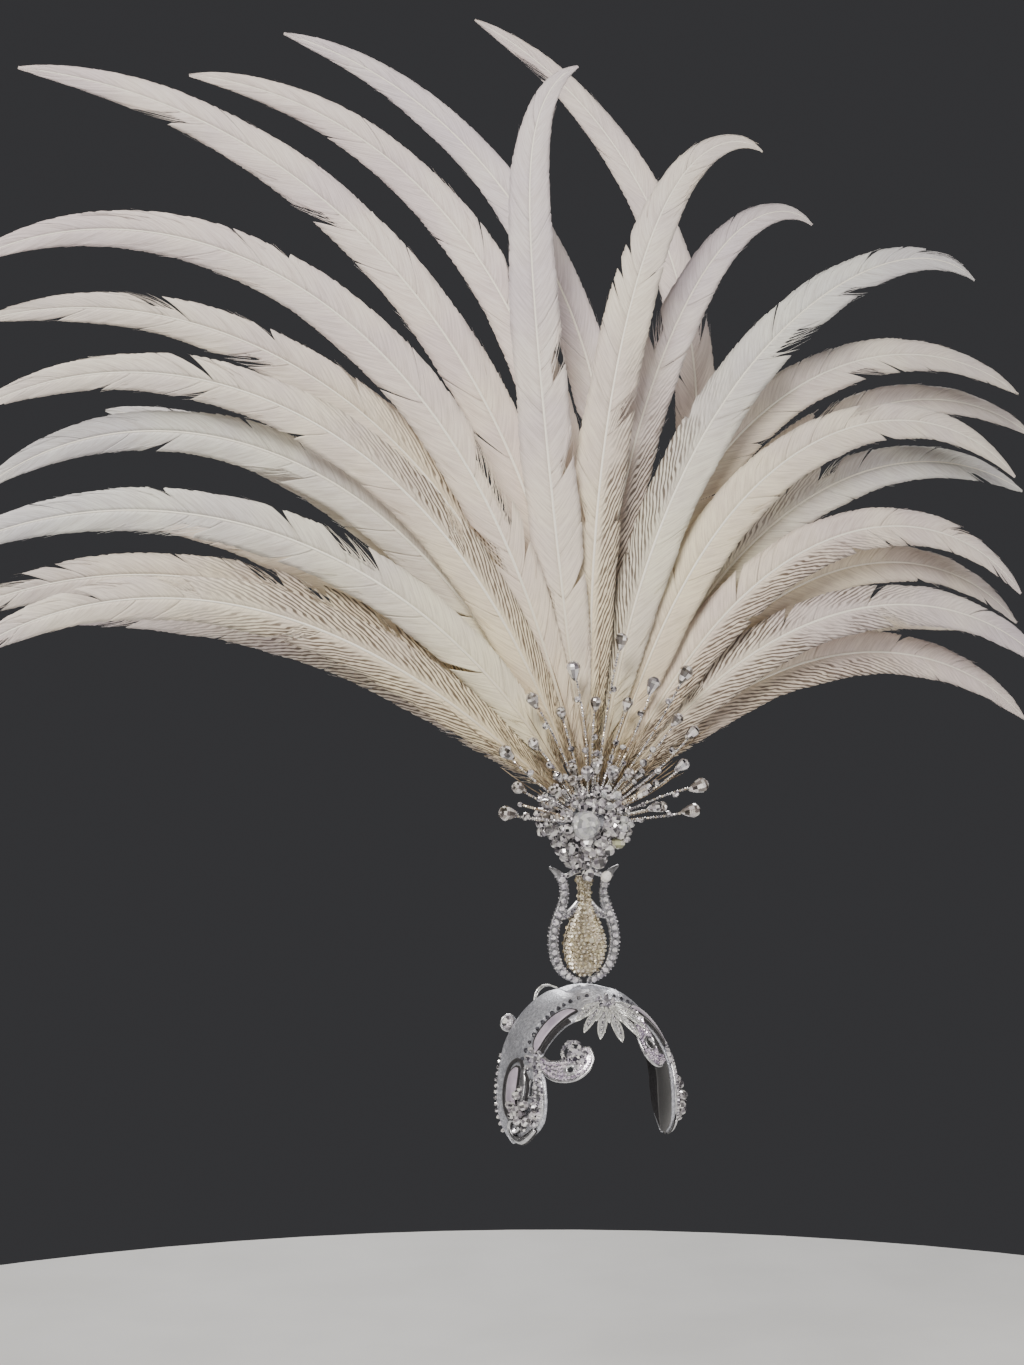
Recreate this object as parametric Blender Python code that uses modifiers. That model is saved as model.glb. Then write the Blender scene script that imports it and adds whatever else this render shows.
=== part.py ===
"""Feathered headdress: a silver band over the crown, a lyre-shaped stem, a cup of crystals and a fan of
long white tail feathers in rows. Metres, +Z up. The wearer faces -Y, and the wearer's left is +X.
The origin is where the band rests on the crown of the head, at the middle of its inner face."""
import math
from collections import namedtuple

import bmesh
import bpy
from mathutils import Matrix, Vector

# Fits between pieces
SEAM_GAP = 0.0003

# The head that the band is shaped to: an ellipsoid whose top is at the origin
HEAD_HALF_WIDTH = 0.073
HEAD_HALF_DEPTH = 0.095
HEAD_CROWN_HEIGHT = 0.092

# Band and what is laid on it
BAND_THICKNESS = 0.0024
TRIM_THICKNESS = 0.0016
SCROLL_THICKNESS = 0.0020
SCROLL_LENGTH = 0.046
PALMETTE_LENGTH = 0.042
PALMETTE_PETALS = 7
PALMETTE_SPREAD = 170.0
PALMETTE_AHEAD = 28.0
PALMETTE_RISE = 0.0045
EAR_SCROLL_WIDTH = 0.0048
BUTTON_RADIUS = 0.0080
BUTTON_THICKNESS = 0.0035
BUTTON_AROUND = 49.0
LOOP_WIRE_RADIUS = 0.0008
LOOP_RISE = 0.008

# Lyre stem
LYRE_HEIGHT = 0.101
LYRE_HALF_WIDTH = 0.0335
LYRE_THICKNESS = 0.0040
FOOT_THICKNESS = 0.0020
FOOT_HALF_WIDTH = 0.020
FOOT_HALF_DEPTH = 0.009
POST_RADIUS = 0.0025
POST_RISE = 0.044
VASE_THICKNESS = 0.0020
ARM_STONE_RADIUS = 0.0021
ARM_STONE_HEIGHT = 0.0016
ARM_STONE_PITCH = 0.0070

# Crystal cup and dome
CUP_HEIGHT = 0.036
CUP_TOP_RADIUS = 0.026
CRYSTAL_RADIUS = 0.0056
DOME_RADIUS = 0.0135
DOME_OFFSET = -0.009
DOME_RISE = -0.0005

# Feather socket and feathers
SOCKET_RADIUS = 0.034
SOCKET_BLOCK_BELOW = 0.004
ROW_PITCH = 0.011
ROW_COUNT = 4
QUILL_RADIUS = 0.0020
FEATHER_LENGTH = 0.80
FEATHER_WIDTH = 0.042
VANE_EDGE_THICKNESS = 0.0010
VANE_FOLD = 0.10
SHINGLE_ROLL = 18.0
CROOK_POWER = 12

# Sprays of wire and crystal drops
SPRAY_WIRE_RADIUS = 0.0008
SPRAY_LEAN = 11.0
DROP_RADIUS = 0.0052
DROP_LENGTH = 0.016
BEAD_RADIUS = 0.0026
COMB_INNER_RADIUS = 0.020
COMB_OUTER_RADIUS = 0.027
COMB_THICKNESS = 0.0022

HEAD_CENTRE = Vector((0.0, 0.0, -HEAD_CROWN_HEIGHT))
LYRE_BASE = BAND_THICKNESS + FOOT_THICKNESS + 2 * SEAM_GAP
LYRE_TOP = LYRE_BASE + LYRE_HEIGHT
CUP_BASE = LYRE_TOP + SEAM_GAP
CUP_TOP = CUP_BASE + CUP_HEIGHT
SOCKET_CENTRE_Z = CUP_TOP + SEAM_GAP + SOCKET_BLOCK_BELOW
SOCKET_HALF_DEPTH = (ROW_COUNT - 1) / 2 * ROW_PITCH + QUILL_RADIUS + 0.003
BAND_OUTSIDE = BAND_THICKNESS + SEAM_GAP
# How far the band's flat facets lie inside its true curve, between their edges
BAND_FACET_SAG = 0.0009

# Distances ahead of and behind the crown are shares of HEAD_HALF_DEPTH, angles are degrees down from the
# crown
BandEdge = namedtuple("BandEdge", "around front back")
BAND_EDGES = (
    BandEdge(0, 0.50, 0.34),
    BandEdge(20, 0.52, 0.34),
    BandEdge(32, 0.49, 0.34),
    BandEdge(46, 0.47, 0.33),
    BandEdge(58, 0.46, 0.30),
    BandEdge(66, 0.51, 0.26),
    BandEdge(72, 0.57, 0.23),
    BandEdge(82, 0.61, 0.21),
    BandEdge(92, 0.61, 0.20),
    BandEdge(100, 0.57, 0.15),
    BandEdge(106, 0.47, 0.06),
    BandEdge(112, 0.28, -0.10),
)

TrimRow = namedtuple("TrimRow", "around low high")
CRESCENT_ROWS = (
    TrimRow(21, 0.430, 0.445),
    TrimRow(26, 0.36, 0.440),
    TrimRow(34, 0.315, 0.435),
    TrimRow(46, 0.300, 0.420),
    TrimRow(54, 0.315, 0.415),
    TrimRow(59, 0.385, 0.400),
)
FRONT_EDGE_ROWS = (
    TrimRow(29, 0.455, 0.490),
    TrimRow(36, 0.443, 0.480),
    TrimRow(46, 0.430, 0.468),
    TrimRow(57, 0.425, 0.455),
)
SIDE_PANEL_ROWS = (
    TrimRow(70, 0.20, 0.25),
    TrimRow(75, 0.11, 0.27),
    TrimRow(84, 0.09, 0.275),
    TrimRow(92, 0.11, 0.275),
    TrimRow(96, 0.18, 0.255),
)
SIDE_RIB_ROWS = (
    TrimRow(69, 0.28, 0.33),
    TrimRow(76, 0.29, 0.38),
    TrimRow(86, 0.29, 0.375),
    TrimRow(95, 0.29, 0.33),
)
TEMPLE_STRIP_ROWS = (
    TrimRow(64, 0.43, 0.48),
    TrimRow(70, 0.46, 0.540),
    TrimRow(80, 0.48, 0.597),
    TrimRow(90, 0.48, 0.600),
    TrimRow(97, 0.45, 0.565),
    TrimRow(100, 0.43, 0.52),
)
SIDE_SLOT = TrimRow(79, 0.42, 0.465)
SIDE_SLOT_LENGTH = 0.016

# Leaves and scrolls run along a line on the head; widths are shares of the piece's own width or length
RibbonRow = namedtuple("RibbonRow", "around ahead width")
SCROLL_ROWS = (
    RibbonRow(60, 0.485, 0.10),
    RibbonRow(63, 0.56, 0.22),
    RibbonRow(62, 0.66, 0.34),
    RibbonRow(56, 0.745, 0.40),
    RibbonRow(47, 0.785, 0.36),
    RibbonRow(39, 0.785, 0.24),
    RibbonRow(34, 0.745, 0.12),
)
LEFT_SCROLL_ROWS = (
    RibbonRow(27, 0.53, 0.10),
    RibbonRow(26, 0.62, 0.26),
    RibbonRow(30, 0.715, 0.40),
    RibbonRow(38, 0.785, 0.38),
    RibbonRow(47, 0.785, 0.26),
    RibbonRow(53, 0.72, 0.14),
)
EYELET_RADIUS = 0.0026
Eyelet = namedtuple("Eyelet", "side around ahead")
EYELETS = (
    Eyelet(-1, 56, 0.745),
    Eyelet(1, 32, 0.735),
)
EAR_SCROLL_ROWS = (
    RibbonRow(102.5, 0.50, 0.8),
    RibbonRow(107, 0.40, 1.1),
    RibbonRow(110, 0.28, 1.2),
    RibbonRow(108.5, 0.17, 1.1),
    RibbonRow(103.5, 0.12, 1.0),
    RibbonRow(99.2, 0.17, 0.9),
    RibbonRow(99.0, 0.25, 0.8),
    RibbonRow(102.5, 0.285, 0.8),
    RibbonRow(104.5, 0.235, 0.8),
)

# Lyre outlines: x as a share of LYRE_HALF_WIDTH, z as a share of LYRE_HEIGHT
OutlinePoint = namedtuple("OutlinePoint", "x z")
LYRE_OUTER = (
    OutlinePoint(0.16, 0.000),
    OutlinePoint(0.38, 0.030),
    OutlinePoint(0.66, 0.090),
    OutlinePoint(0.90, 0.215),
    OutlinePoint(1.00, 0.390),
    OutlinePoint(0.93, 0.550),
    OutlinePoint(0.77, 0.680),
    OutlinePoint(0.66, 0.800),
    OutlinePoint(0.69, 0.890),
    OutlinePoint(0.84, 0.955),
    OutlinePoint(1.02, 1.030),
    OutlinePoint(0.88, 1.010),
    OutlinePoint(0.62, 0.985),
    OutlinePoint(0.36, 0.995),
    OutlinePoint(0.18, 1.000),
)
LYRE_NECK_HOLE = (
    OutlinePoint(0.25, 0.905),
    OutlinePoint(0.20, 0.800),
    OutlinePoint(0.25, 0.705),
    OutlinePoint(0.38, 0.635),
    OutlinePoint(0.46, 0.700),
    OutlinePoint(0.42, 0.810),
    OutlinePoint(0.44, 0.900),
    OutlinePoint(0.35, 0.930),
)
LYRE_BODY_SLIT = (
    OutlinePoint(0.36, 0.590),
    OutlinePoint(0.55, 0.535),
    OutlinePoint(0.70, 0.430),
    OutlinePoint(0.75, 0.330),
    OutlinePoint(0.69, 0.230),
    OutlinePoint(0.52, 0.150),
    OutlinePoint(0.58, 0.245),
    OutlinePoint(0.61, 0.350),
    OutlinePoint(0.55, 0.455),
)
ARM_LINE = (
    OutlinePoint(0.66, 0.925),
    OutlinePoint(0.545, 0.800),
    OutlinePoint(0.62, 0.670),
    OutlinePoint(0.80, 0.530),
    OutlinePoint(0.87, 0.380),
    OutlinePoint(0.79, 0.225),
    OutlinePoint(0.58, 0.110),
    OutlinePoint(0.30, 0.045),
)
VASE_OUTLINE = (
    OutlinePoint(0.00, 0.075),
    OutlinePoint(0.20, 0.085),
    OutlinePoint(0.42, 0.150),
    OutlinePoint(0.52, 0.250),
    OutlinePoint(0.555, 0.350),
    OutlinePoint(0.50, 0.450),
    OutlinePoint(0.34, 0.560),
    OutlinePoint(0.20, 0.650),
    OutlinePoint(0.14, 0.760),
    OutlinePoint(0.16, 0.850),
    OutlinePoint(0.21, 0.905),
    OutlinePoint(0.18, 0.940),
    OutlinePoint(0.00, 0.940),
)

# Cup profile and its rings of crystals: radii are shares of CUP_TOP_RADIUS, heights of CUP_HEIGHT
ProfilePoint = namedtuple("ProfilePoint", "radius height")
CUP_PROFILE = (
    ProfilePoint(0.30, 0.00),
    ProfilePoint(0.38, 0.16),
    ProfilePoint(0.62, 0.36),
    ProfilePoint(0.78, 0.58),
    ProfilePoint(0.89, 0.84),
    ProfilePoint(0.92, 1.00),
)
CrystalRing = namedtuple("CrystalRing", "radius height count turn size")
CRYSTAL_RINGS = (
    CrystalRing(0.42, 0.17, 5, 54, 0.95),
    CrystalRing(0.68, 0.34, 7, 12, 1.10),
    CrystalRing(0.90, 0.54, 9, 30, 1.10),
)

# Feathers. row 0 is the front row; angles are degrees from straight up, plus towards the wearer's left.
# fan is the angle at the socket, tip the angle that the bend reaches at the tip, hook how late the bend
# comes, and crook what the last stretch of the tip turns on top of it; lean and curl are the backward slopes
# at the socket and at the tip; length and width are shares of the named ones.
Feather = namedtuple("Feather", "name row fan tip hook crook lean curl length width")
FEATHERS = (
    Feather("right_01", 0, -49, -128, 1.75, 0, 0, 8, 0.72, 0.98),
    Feather("right_03", 0, -33, -120, 1.30, 0, 0, 8, 0.80, 0.98),
    Feather("right_05", 0, -22, -121, 1.65, 0, 0, 8, 0.86, 0.95),
    Feather("right_07", 0, -15, -121, 1.90, 0, 0, 8, 0.99, 1.00),
    Feather("centre_1", 0, -8, -2, 1.20, 70, 0, 2, 0.81, 1.05),
    Feather("left_01", 0, -1, 31, 1.50, 95, 0, 4, 0.82, 1.00),
    Feather("left_03", 0, 10, 82, 1.50, 45, 0, 8, 0.89, 1.05),
    Feather("left_06", 0, 20, 132, 1.90, 0, 0, 8, 0.80, 1.00),
    Feather("left_08", 0, 31, 138, 1.80, 0, 0, 8, 0.71, 0.98),
    Feather("left_10", 0, 40, 131, 1.40, 0, 0, 8, 0.69, 1.00),
    Feather("right_02", 1, -42, -121, 1.35, 0, 3, 12, 0.76, 0.95),
    Feather("right_04", 1, -26, -131, 1.75, 0, 3, 12, 0.82, 0.98),
    Feather("right_06", 1, -16, -107, 1.50, 0, 3, 12, 0.90, 0.95),
    Feather("right_08", 1, -4, -86, 1.40, 0, 3, 12, 1.07, 1.00),
    Feather("left_02", 1, 5, 49, 1.60, 80, 3, 10, 0.81, 0.98),
    Feather("left_04", 1, 13, 117, 1.55, 0, 3, 12, 0.92, 1.00),
    Feather("left_07", 1, 27, 114, 1.60, 0, 3, 12, 0.79, 1.00),
    Feather("left_09", 1, 36, 131, 1.60, 0, 3, 12, 0.71, 0.95),
    Feather("left_11", 1, 47, 129, 1.30, 0, 3, 12, 0.66, 1.00),
    Feather("back_1", 2, -46, -100, 1.20, 0, 6, 16, 0.60, 0.95),
    Feather("back_2", 2, -34, -92, 1.20, 0, 6, 16, 0.66, 0.95),
    Feather("back_3", 2, -22, -84, 1.20, 0, 6, 16, 0.68, 0.95),
    Feather("back_4", 2, -10, -62, 1.20, 0, 6, 16, 0.62, 0.95),
    Feather("right_09", 2, 4, -86, 1.85, 0, 6, 16, 1.01, 0.98),
    Feather("right_10", 2, 13, -74, 1.65, 0, 6, 16, 1.02, 0.90),
    Feather("left_05", 2, 24, 116, 1.65, 0, 6, 16, 0.93, 0.95),
    Feather("back_5", 2, 32, 96, 1.30, 0, 6, 16, 0.66, 0.95),
    Feather("back_6", 2, 43, 106, 1.30, 0, 6, 16, 0.60, 0.95),
    Feather("centre_2", 3, 31, -56, 1.60, 0, 9, 26, 1.10, 0.90),
)
VaneStation = namedtuple("VaneStation", "along half_width rachis")
VANE_STATIONS = (
    VaneStation(0.000, 0.00, 1.00),
    VaneStation(0.050, 0.02, 1.00),
    VaneStation(0.100, 0.34, 0.95),
    VaneStation(0.175, 0.74, 0.90),
    VaneStation(0.270, 0.95, 0.84),
    VaneStation(0.390, 1.00, 0.75),
    VaneStation(0.510, 1.00, 0.66),
    VaneStation(0.630, 0.95, 0.57),
    VaneStation(0.740, 0.85, 0.49),
    VaneStation(0.840, 0.69, 0.42),
    VaneStation(0.920, 0.48, 0.36),
    VaneStation(0.970, 0.27, 0.32),
    VaneStation(1.000, 0.05, 0.30),
)

# Sprays: angle from straight up in the fan, length to the drop's end, and the drop's share of DROP_RADIUS
Spray = namedtuple("Spray", "group angle length drop bead_at")
SPRAYS = (
    Spray("right", -82, 0.072, 1.00, 0.62),
    Spray("right", -66, 0.066, 0.80, 0.55),
    Spray("right", -54, 0.094, 0.90, 0.60),
    Spray("right", -41, 0.078, 0.75, 0.60),
    Spray("right", -31, 0.112, 0.85, 0.70),
    Spray("front", -21, 0.088, 0.70, 0.55),
    Spray("front", -12, 0.124, 0.95, 0.72),
    Spray("front", -3, 0.090, 0.75, 0.60),
    Spray("front", 5, 0.146, 0.85, 0.66),
    Spray("front", 13, 0.092, 0.75, 0.55),
    Spray("front", 21, 0.116, 0.90, 0.70),
    Spray("left", 30, 0.138, 0.95, 0.74),
    Spray("left", 38, 0.100, 0.75, 0.60),
    Spray("left", 47, 0.102, 0.80, 0.70),
    Spray("left", 57, 0.078, 0.80, 0.55),
    Spray("left", 71, 0.086, 1.00, 0.64),
    Spray("left", 83, 0.074, 0.95, 0.60),
)


def clear_scene():
    for old in list(bpy.data.objects):
        bpy.data.objects.remove(old, do_unlink=True)


def new_collection(name):
    collection = bpy.data.collections.new(name)
    bpy.context.scene.collection.children.link(collection)
    return collection


def make_material(name, colour, roughness, metallic=0.0):
    material = bpy.data.materials.new(name)
    material.use_nodes = True
    shader = material.node_tree.nodes["Principled BSDF"]
    shader.inputs["Base Color"].default_value = (*colour, 1.0)
    shader.inputs["Roughness"].default_value = roughness
    shader.inputs["Metallic"].default_value = metallic
    return material


def put_mesh(name, bm, material, collection):
    """Turn a bmesh into a named object in a collection."""
    mesh = bpy.data.meshes.new(name)
    bm.to_mesh(mesh)
    bm.free()
    piece = bpy.data.objects.new(name, mesh)
    piece.data.materials.append(material)
    collection.objects.link(piece)
    return piece


def smooth_rows(rows, steps):
    """Points on a smooth line through the rows of a table, steps of them from each row to the next."""
    first, last = rows[0], rows[-1]
    padded = [first, *rows, last]
    points = []
    for index in range(1, len(padded) - 2):
        before, start, end, after = padded[index - 1:index + 3]
        for step in range(steps):
            t = step / steps
            point = []
            for a, b, c, d in zip(before, start, end, after):
                bend = (2 * a - 5 * b + 4 * c - d) * t + (3 * b - a - 3 * c + d) * t * t
                point.append(b + 0.5 * t * (c - a + bend))
            points.append(point)
    points.append(list(last))
    return points


def table_value(rows, place, column):
    """Read a column of a table, straight between its rows, at a place in its first column."""
    for row, following in zip(rows, rows[1:]):
        if place <= following[0]:
            share = (place - row[0]) / (following[0] - row[0])
            return row[column] + share * (following[column] - row[column])
    return rows[-1][column]


def head_point(around, ahead, lift):
    """A point on the head: degrees down from the crown, share of the depth ahead, height off the skin."""
    ring = math.sqrt(max(0.0, 1 - ahead * ahead))
    turn = math.radians(around)
    x = HEAD_HALF_WIDTH * ring * math.sin(turn)
    y = -HEAD_HALF_DEPTH * ahead
    z = HEAD_CROWN_HEIGHT * ring * math.cos(turn)
    outward = Vector((x / HEAD_HALF_WIDTH ** 2, y / HEAD_HALF_DEPTH ** 2, z / HEAD_CROWN_HEIGHT ** 2))
    return HEAD_CENTRE + Vector((x, y, z)) + lift * outward.normalized()


def drop_to_head(point, lift):
    """The point of the head's surface on the line from the head's middle to a point near it, lifted off."""
    ray = point - HEAD_CENTRE
    size = math.sqrt(
        (ray.x / HEAD_HALF_WIDTH) ** 2 + (ray.y / HEAD_HALF_DEPTH) ** 2 + (ray.z / HEAD_CROWN_HEIGHT) ** 2
    )
    skin = ray / size
    outward = Vector(
        (skin.x / HEAD_HALF_WIDTH ** 2, skin.y / HEAD_HALF_DEPTH ** 2, skin.z / HEAD_CROWN_HEIGHT ** 2)
    )
    return HEAD_CENTRE + skin + lift * outward.normalized()


def face_outwards(bm):
    """Turn an open sheet so that its faces look away from the head."""
    bm.normal_update()
    face = max(bm.faces, key=lambda candidate: candidate.calc_area())
    if face.normal.dot(face.calc_center_median() - HEAD_CENTRE) < 0:
        bmesh.ops.reverse_faces(bm, faces=bm.faces)


def thicken(piece, thickness):
    wall = piece.modifiers.new("wall", "SOLIDIFY")
    wall.thickness = thickness
    wall.offset = 1.0


def make_sheet(name, place, along, across, thickness, material, collection):
    """A sheet whose grid goes where place(u, v) says, with u and v from 0 to 1, given its wall."""
    bm = bmesh.new()
    bmesh.ops.create_grid(bm, x_segments=along, y_segments=across, size=0.5)
    for vertex in bm.verts:
        vertex.co = place(vertex.co.x + 0.5, vertex.co.y + 0.5)
    face_outwards(bm)
    sheet = put_mesh(name, bm, material, collection)
    thicken(sheet, thickness)
    return sheet


def make_band(material, collection, cutters):
    """The stiff band: one sheet over the head from ear to ear, with a slot through each side."""
    reach = BAND_EDGES[-1].around

    def place(u, v):
        around = (2 * u - 1) * reach
        front = table_value(BAND_EDGES, abs(around), 1)
        back = table_value(BAND_EDGES, abs(around), 2)
        return head_point(around, front + v * (-back - front), 0.0)

    band = make_sheet("crown_band", place, 24, 4, BAND_THICKNESS, material, collection)
    for side in (-1, 1):
        middle = head_point(side * SIDE_SLOT.around, (SIDE_SLOT.low + SIDE_SLOT.high) / 2, 0.0)
        bm = bmesh.new()
        bmesh.ops.create_cube(bm, size=1.0)
        width = (SIDE_SLOT.high - SIDE_SLOT.low) * HEAD_HALF_DEPTH
        depth = 8 * BAND_THICKNESS
        bmesh.ops.scale(bm, vec=(depth, width, SIDE_SLOT_LENGTH), verts=bm.verts)
        bmesh.ops.translate(bm, vec=middle, verts=bm.verts)
        cutter = put_mesh(f"cutter_side_slot_{side}", bm, material, cutters)
        slot = band.modifiers.new("slot", "BOOLEAN")
        slot.operation = "DIFFERENCE"
        slot.object = cutter
    return band


def make_trim(name, side, rows, along, across, material, collection):
    """A strip laid on the band, between two lines ahead of the crown."""
    start, end = rows[0].around, rows[-1].around

    def place(u, v):
        around = start + u * (end - start)
        low = table_value(rows, around, 1)
        high = table_value(rows, around, 2)
        return head_point(side * around, low + v * (high - low), BAND_OUTSIDE)

    return make_sheet(name, place, along, across, TRIM_THICKNESS, material, collection)


def make_ribbon(name, side, rows, unit, material, collection):
    """A leaf or scroll of changing width along a line on the head."""
    line = smooth_rows(rows, 2)
    centres = [head_point(side * row[0], row[1], 0.0) for row in line]
    last = len(line) - 1

    def place(u, v):
        index = round(v * last)
        centre = centres[index]
        forward = centres[min(index + 1, last)] - centres[max(index - 1, 0)]
        across = forward.cross(centre - HEAD_CENTRE).normalized()
        return drop_to_head(centre + across * (u - 0.5) * line[index][2] * unit, BAND_OUTSIDE)

    return make_sheet(name, place, 2, last, SCROLL_THICKNESS, material, collection)


def pierce(piece, middle, radius, cutters):
    """A round hole through a piece that lies on the head, straight in towards the head's middle."""
    bm = bmesh.new()
    bmesh.ops.create_cone(bm, cap_ends=True, segments=10, radius1=radius, radius2=radius, depth=6 * radius)
    inward = (middle - HEAD_CENTRE).to_track_quat("Z", "Y").to_matrix()
    bmesh.ops.rotate(bm, cent=(0, 0, 0), matrix=inward, verts=bm.verts)
    bmesh.ops.translate(bm, vec=middle, verts=bm.verts)
    cutter = put_mesh("cutter_eyelet_" + piece.name, bm, piece.data.materials[0], cutters)
    hole = piece.modifiers.new("eyelet", "BOOLEAN")
    hole.operation = "DIFFERENCE"
    hole.object = cutter


def make_palmette(material, collection):
    """Wire petals spread over the forehead from a boss on the middle of the band."""
    ring_count = 2
    points_each = 4
    boss = 0.10 * PALMETTE_LENGTH
    notch = 0.55

    def place(u, v):
        turn = math.radians((u - 0.5) * PALMETTE_SPREAD)
        lobe = abs(math.sin(math.pi * u * PALMETTE_PETALS))
        reach = PALMETTE_LENGTH * (1 - 0.38 * abs(2 * u - 1)) * (notch + (1 - notch) * lobe)
        radius = boss + v * (reach - boss)
        ahead = math.radians(PALMETTE_AHEAD) + radius * math.cos(turn) / HEAD_HALF_DEPTH
        around = radius * math.sin(turn) / (HEAD_HALF_WIDTH * math.cos(ahead))
        lift = BAND_OUTSIDE + PALMETTE_RISE * radius / PALMETTE_LENGTH
        return head_point(math.degrees(around), math.sin(ahead), lift)

    steps = PALMETTE_PETALS * points_each
    return make_sheet("palmette", place, steps, ring_count, TRIM_THICKNESS, material, collection)


def make_button(material, collection):
    """The round button that stands on the band's back rim, above the wearer's right ear."""
    reach = math.degrees(BUTTON_RADIUS / HEAD_HALF_WIDTH)
    back = table_value(BAND_EDGES, BUTTON_AROUND - reach, 2)
    centre = head_point(-BUTTON_AROUND, -back, BUTTON_RADIUS)
    centre.y = back * HEAD_HALF_DEPTH + BUTTON_THICKNESS / 2 + SEAM_GAP
    bm = bmesh.new()
    bmesh.ops.create_cone(
        bm, cap_ends=True, segments=16, radius1=BUTTON_RADIUS, radius2=BUTTON_RADIUS * 0.86,
        depth=BUTTON_THICKNESS,
    )
    bmesh.ops.rotate(bm, cent=(0, 0, 0), matrix=Matrix.Rotation(math.radians(90), 3, "X"), verts=bm.verts)
    bmesh.ops.translate(bm, vec=centre, verts=bm.verts)
    return put_mesh("disc_button", bm, material, collection)


def make_curve(name, points, radius, material, collection):
    curve = bpy.data.curves.new(name, "CURVE")
    curve.dimensions = "3D"
    curve.bevel_depth = radius
    curve.bevel_resolution = 1
    curve.use_fill_caps = True
    spline = curve.splines.new("POLY")
    spline.points.add(len(points) - 1)
    for control, point in zip(spline.points, points):
        control.co = (*point, 1.0)
    wire = bpy.data.objects.new(name, curve)
    wire.data.materials.append(material)
    collection.objects.link(wire)
    return wire


def make_wire_loop(material, collection):
    """The thin wire loop that stands on the band behind the crown."""
    steps = 12
    start, end = -30, -12
    foot = BAND_OUTSIDE + LOOP_WIRE_RADIUS - BAND_FACET_SAG
    points = []
    for step in range(steps + 1):
        share = step / steps
        around = start + share * (end - start)
        rise = LOOP_RISE * math.sin(math.pi * share) ** 0.8
        points.append(head_point(around, -0.25, foot + rise))
    return make_curve("wire_loop", points, LOOP_WIRE_RADIUS, material, collection)


def outline_spline(curve, points, mirror):
    """Add a closed outline, given as points of a table, to a flat curve."""
    line = [Vector((point[0] * mirror * LYRE_HALF_WIDTH, point[1] * LYRE_HEIGHT, 0.0)) for point in points]
    spline = curve.splines.new("POLY")
    spline.points.add(len(line) - 1)
    for control, point in zip(spline.points, line):
        control.co = (*point, 1.0)
    spline.use_cyclic_u = True


def flat_solid(name, outlines, thickness, material, collection):
    """A plate from flat outlines, made a mesh with its caps welded, standing in the plane y = 0."""
    curve = bpy.data.curves.new(name, "CURVE")
    curve.dimensions = "2D"
    curve.fill_mode = "BOTH"
    curve.extrude = thickness / 2
    for points, mirror in outlines:
        outline_spline(curve, points, mirror)
    shape = bpy.data.objects.new(name + "_outline", curve)
    collection.objects.link(shape)
    bpy.context.view_layer.update()
    evaluated = shape.evaluated_get(bpy.context.evaluated_depsgraph_get())
    mesh = bpy.data.meshes.new_from_object(evaluated)
    bpy.data.objects.remove(shape, do_unlink=True)
    bpy.data.curves.remove(curve)
    bm = bmesh.new()
    bm.from_mesh(mesh)
    bpy.data.meshes.remove(mesh)
    bmesh.ops.remove_doubles(bm, verts=bm.verts, dist=0.00001)
    bmesh.ops.rotate(bm, cent=(0, 0, 0), matrix=Matrix.Rotation(math.radians(90), 3, "X"), verts=bm.verts)
    bmesh.ops.translate(bm, vec=(0, 0, LYRE_BASE), verts=bm.verts)
    bmesh.ops.recalc_face_normals(bm, faces=bm.faces)
    return put_mesh(name, bm, material, collection)


def closed_outline(points):
    """A smooth line through half an outline, then back down its mirror image."""
    half = smooth_rows(points, 2)
    return half + [(-x, z) for x, z in reversed(half)]


def closed_hole(points):
    return smooth_rows([*points, points[0]], 2)[:-1]


def make_arm_stones(material, collection):
    """The row of cut stones down the front of each arm of the lyre."""
    line = [
        Vector((x * LYRE_HALF_WIDTH, LYRE_BASE + z * LYRE_HEIGHT)) for x, z in smooth_rows(ARM_LINE, 12)
    ]
    places = [line[0]]
    for point in line[1:]:
        if (point - places[-1]).length >= ARM_STONE_PITCH:
            places.append(point)
    stones = []
    front = -LYRE_THICKNESS / 2
    for mirror in (-1, 1):
        for index, point in enumerate(places):
            bm = bmesh.new()
            bmesh.ops.create_cone(
                bm, cap_ends=True, segments=8, radius1=ARM_STONE_RADIUS, radius2=0.55 * ARM_STONE_RADIUS,
                depth=ARM_STONE_HEIGHT,
            )
            turn = Matrix.Rotation(math.radians(90), 3, "X")
            bmesh.ops.rotate(bm, cent=(0, 0, 0), matrix=turn, verts=bm.verts)
            centre = (mirror * point.x, front - 0.3 * ARM_STONE_HEIGHT, point.y)
            bmesh.ops.translate(bm, vec=centre, verts=bm.verts)
            stones.append(put_mesh(f"arm_stone_{mirror}_{index}", bm, material, collection))
    return stones


def unite(piece, tools_collection):
    """Fuse everything in a collection of helpers into a piece."""
    joint = piece.modifiers.new("fused", "BOOLEAN")
    joint.operation = "UNION"
    joint.operand_type = "COLLECTION"
    joint.collection = tools_collection


def hide_helpers(collection):
    for helper in collection.objects:
        helper.hide_render = True
        helper.display_type = "WIRE"


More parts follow.
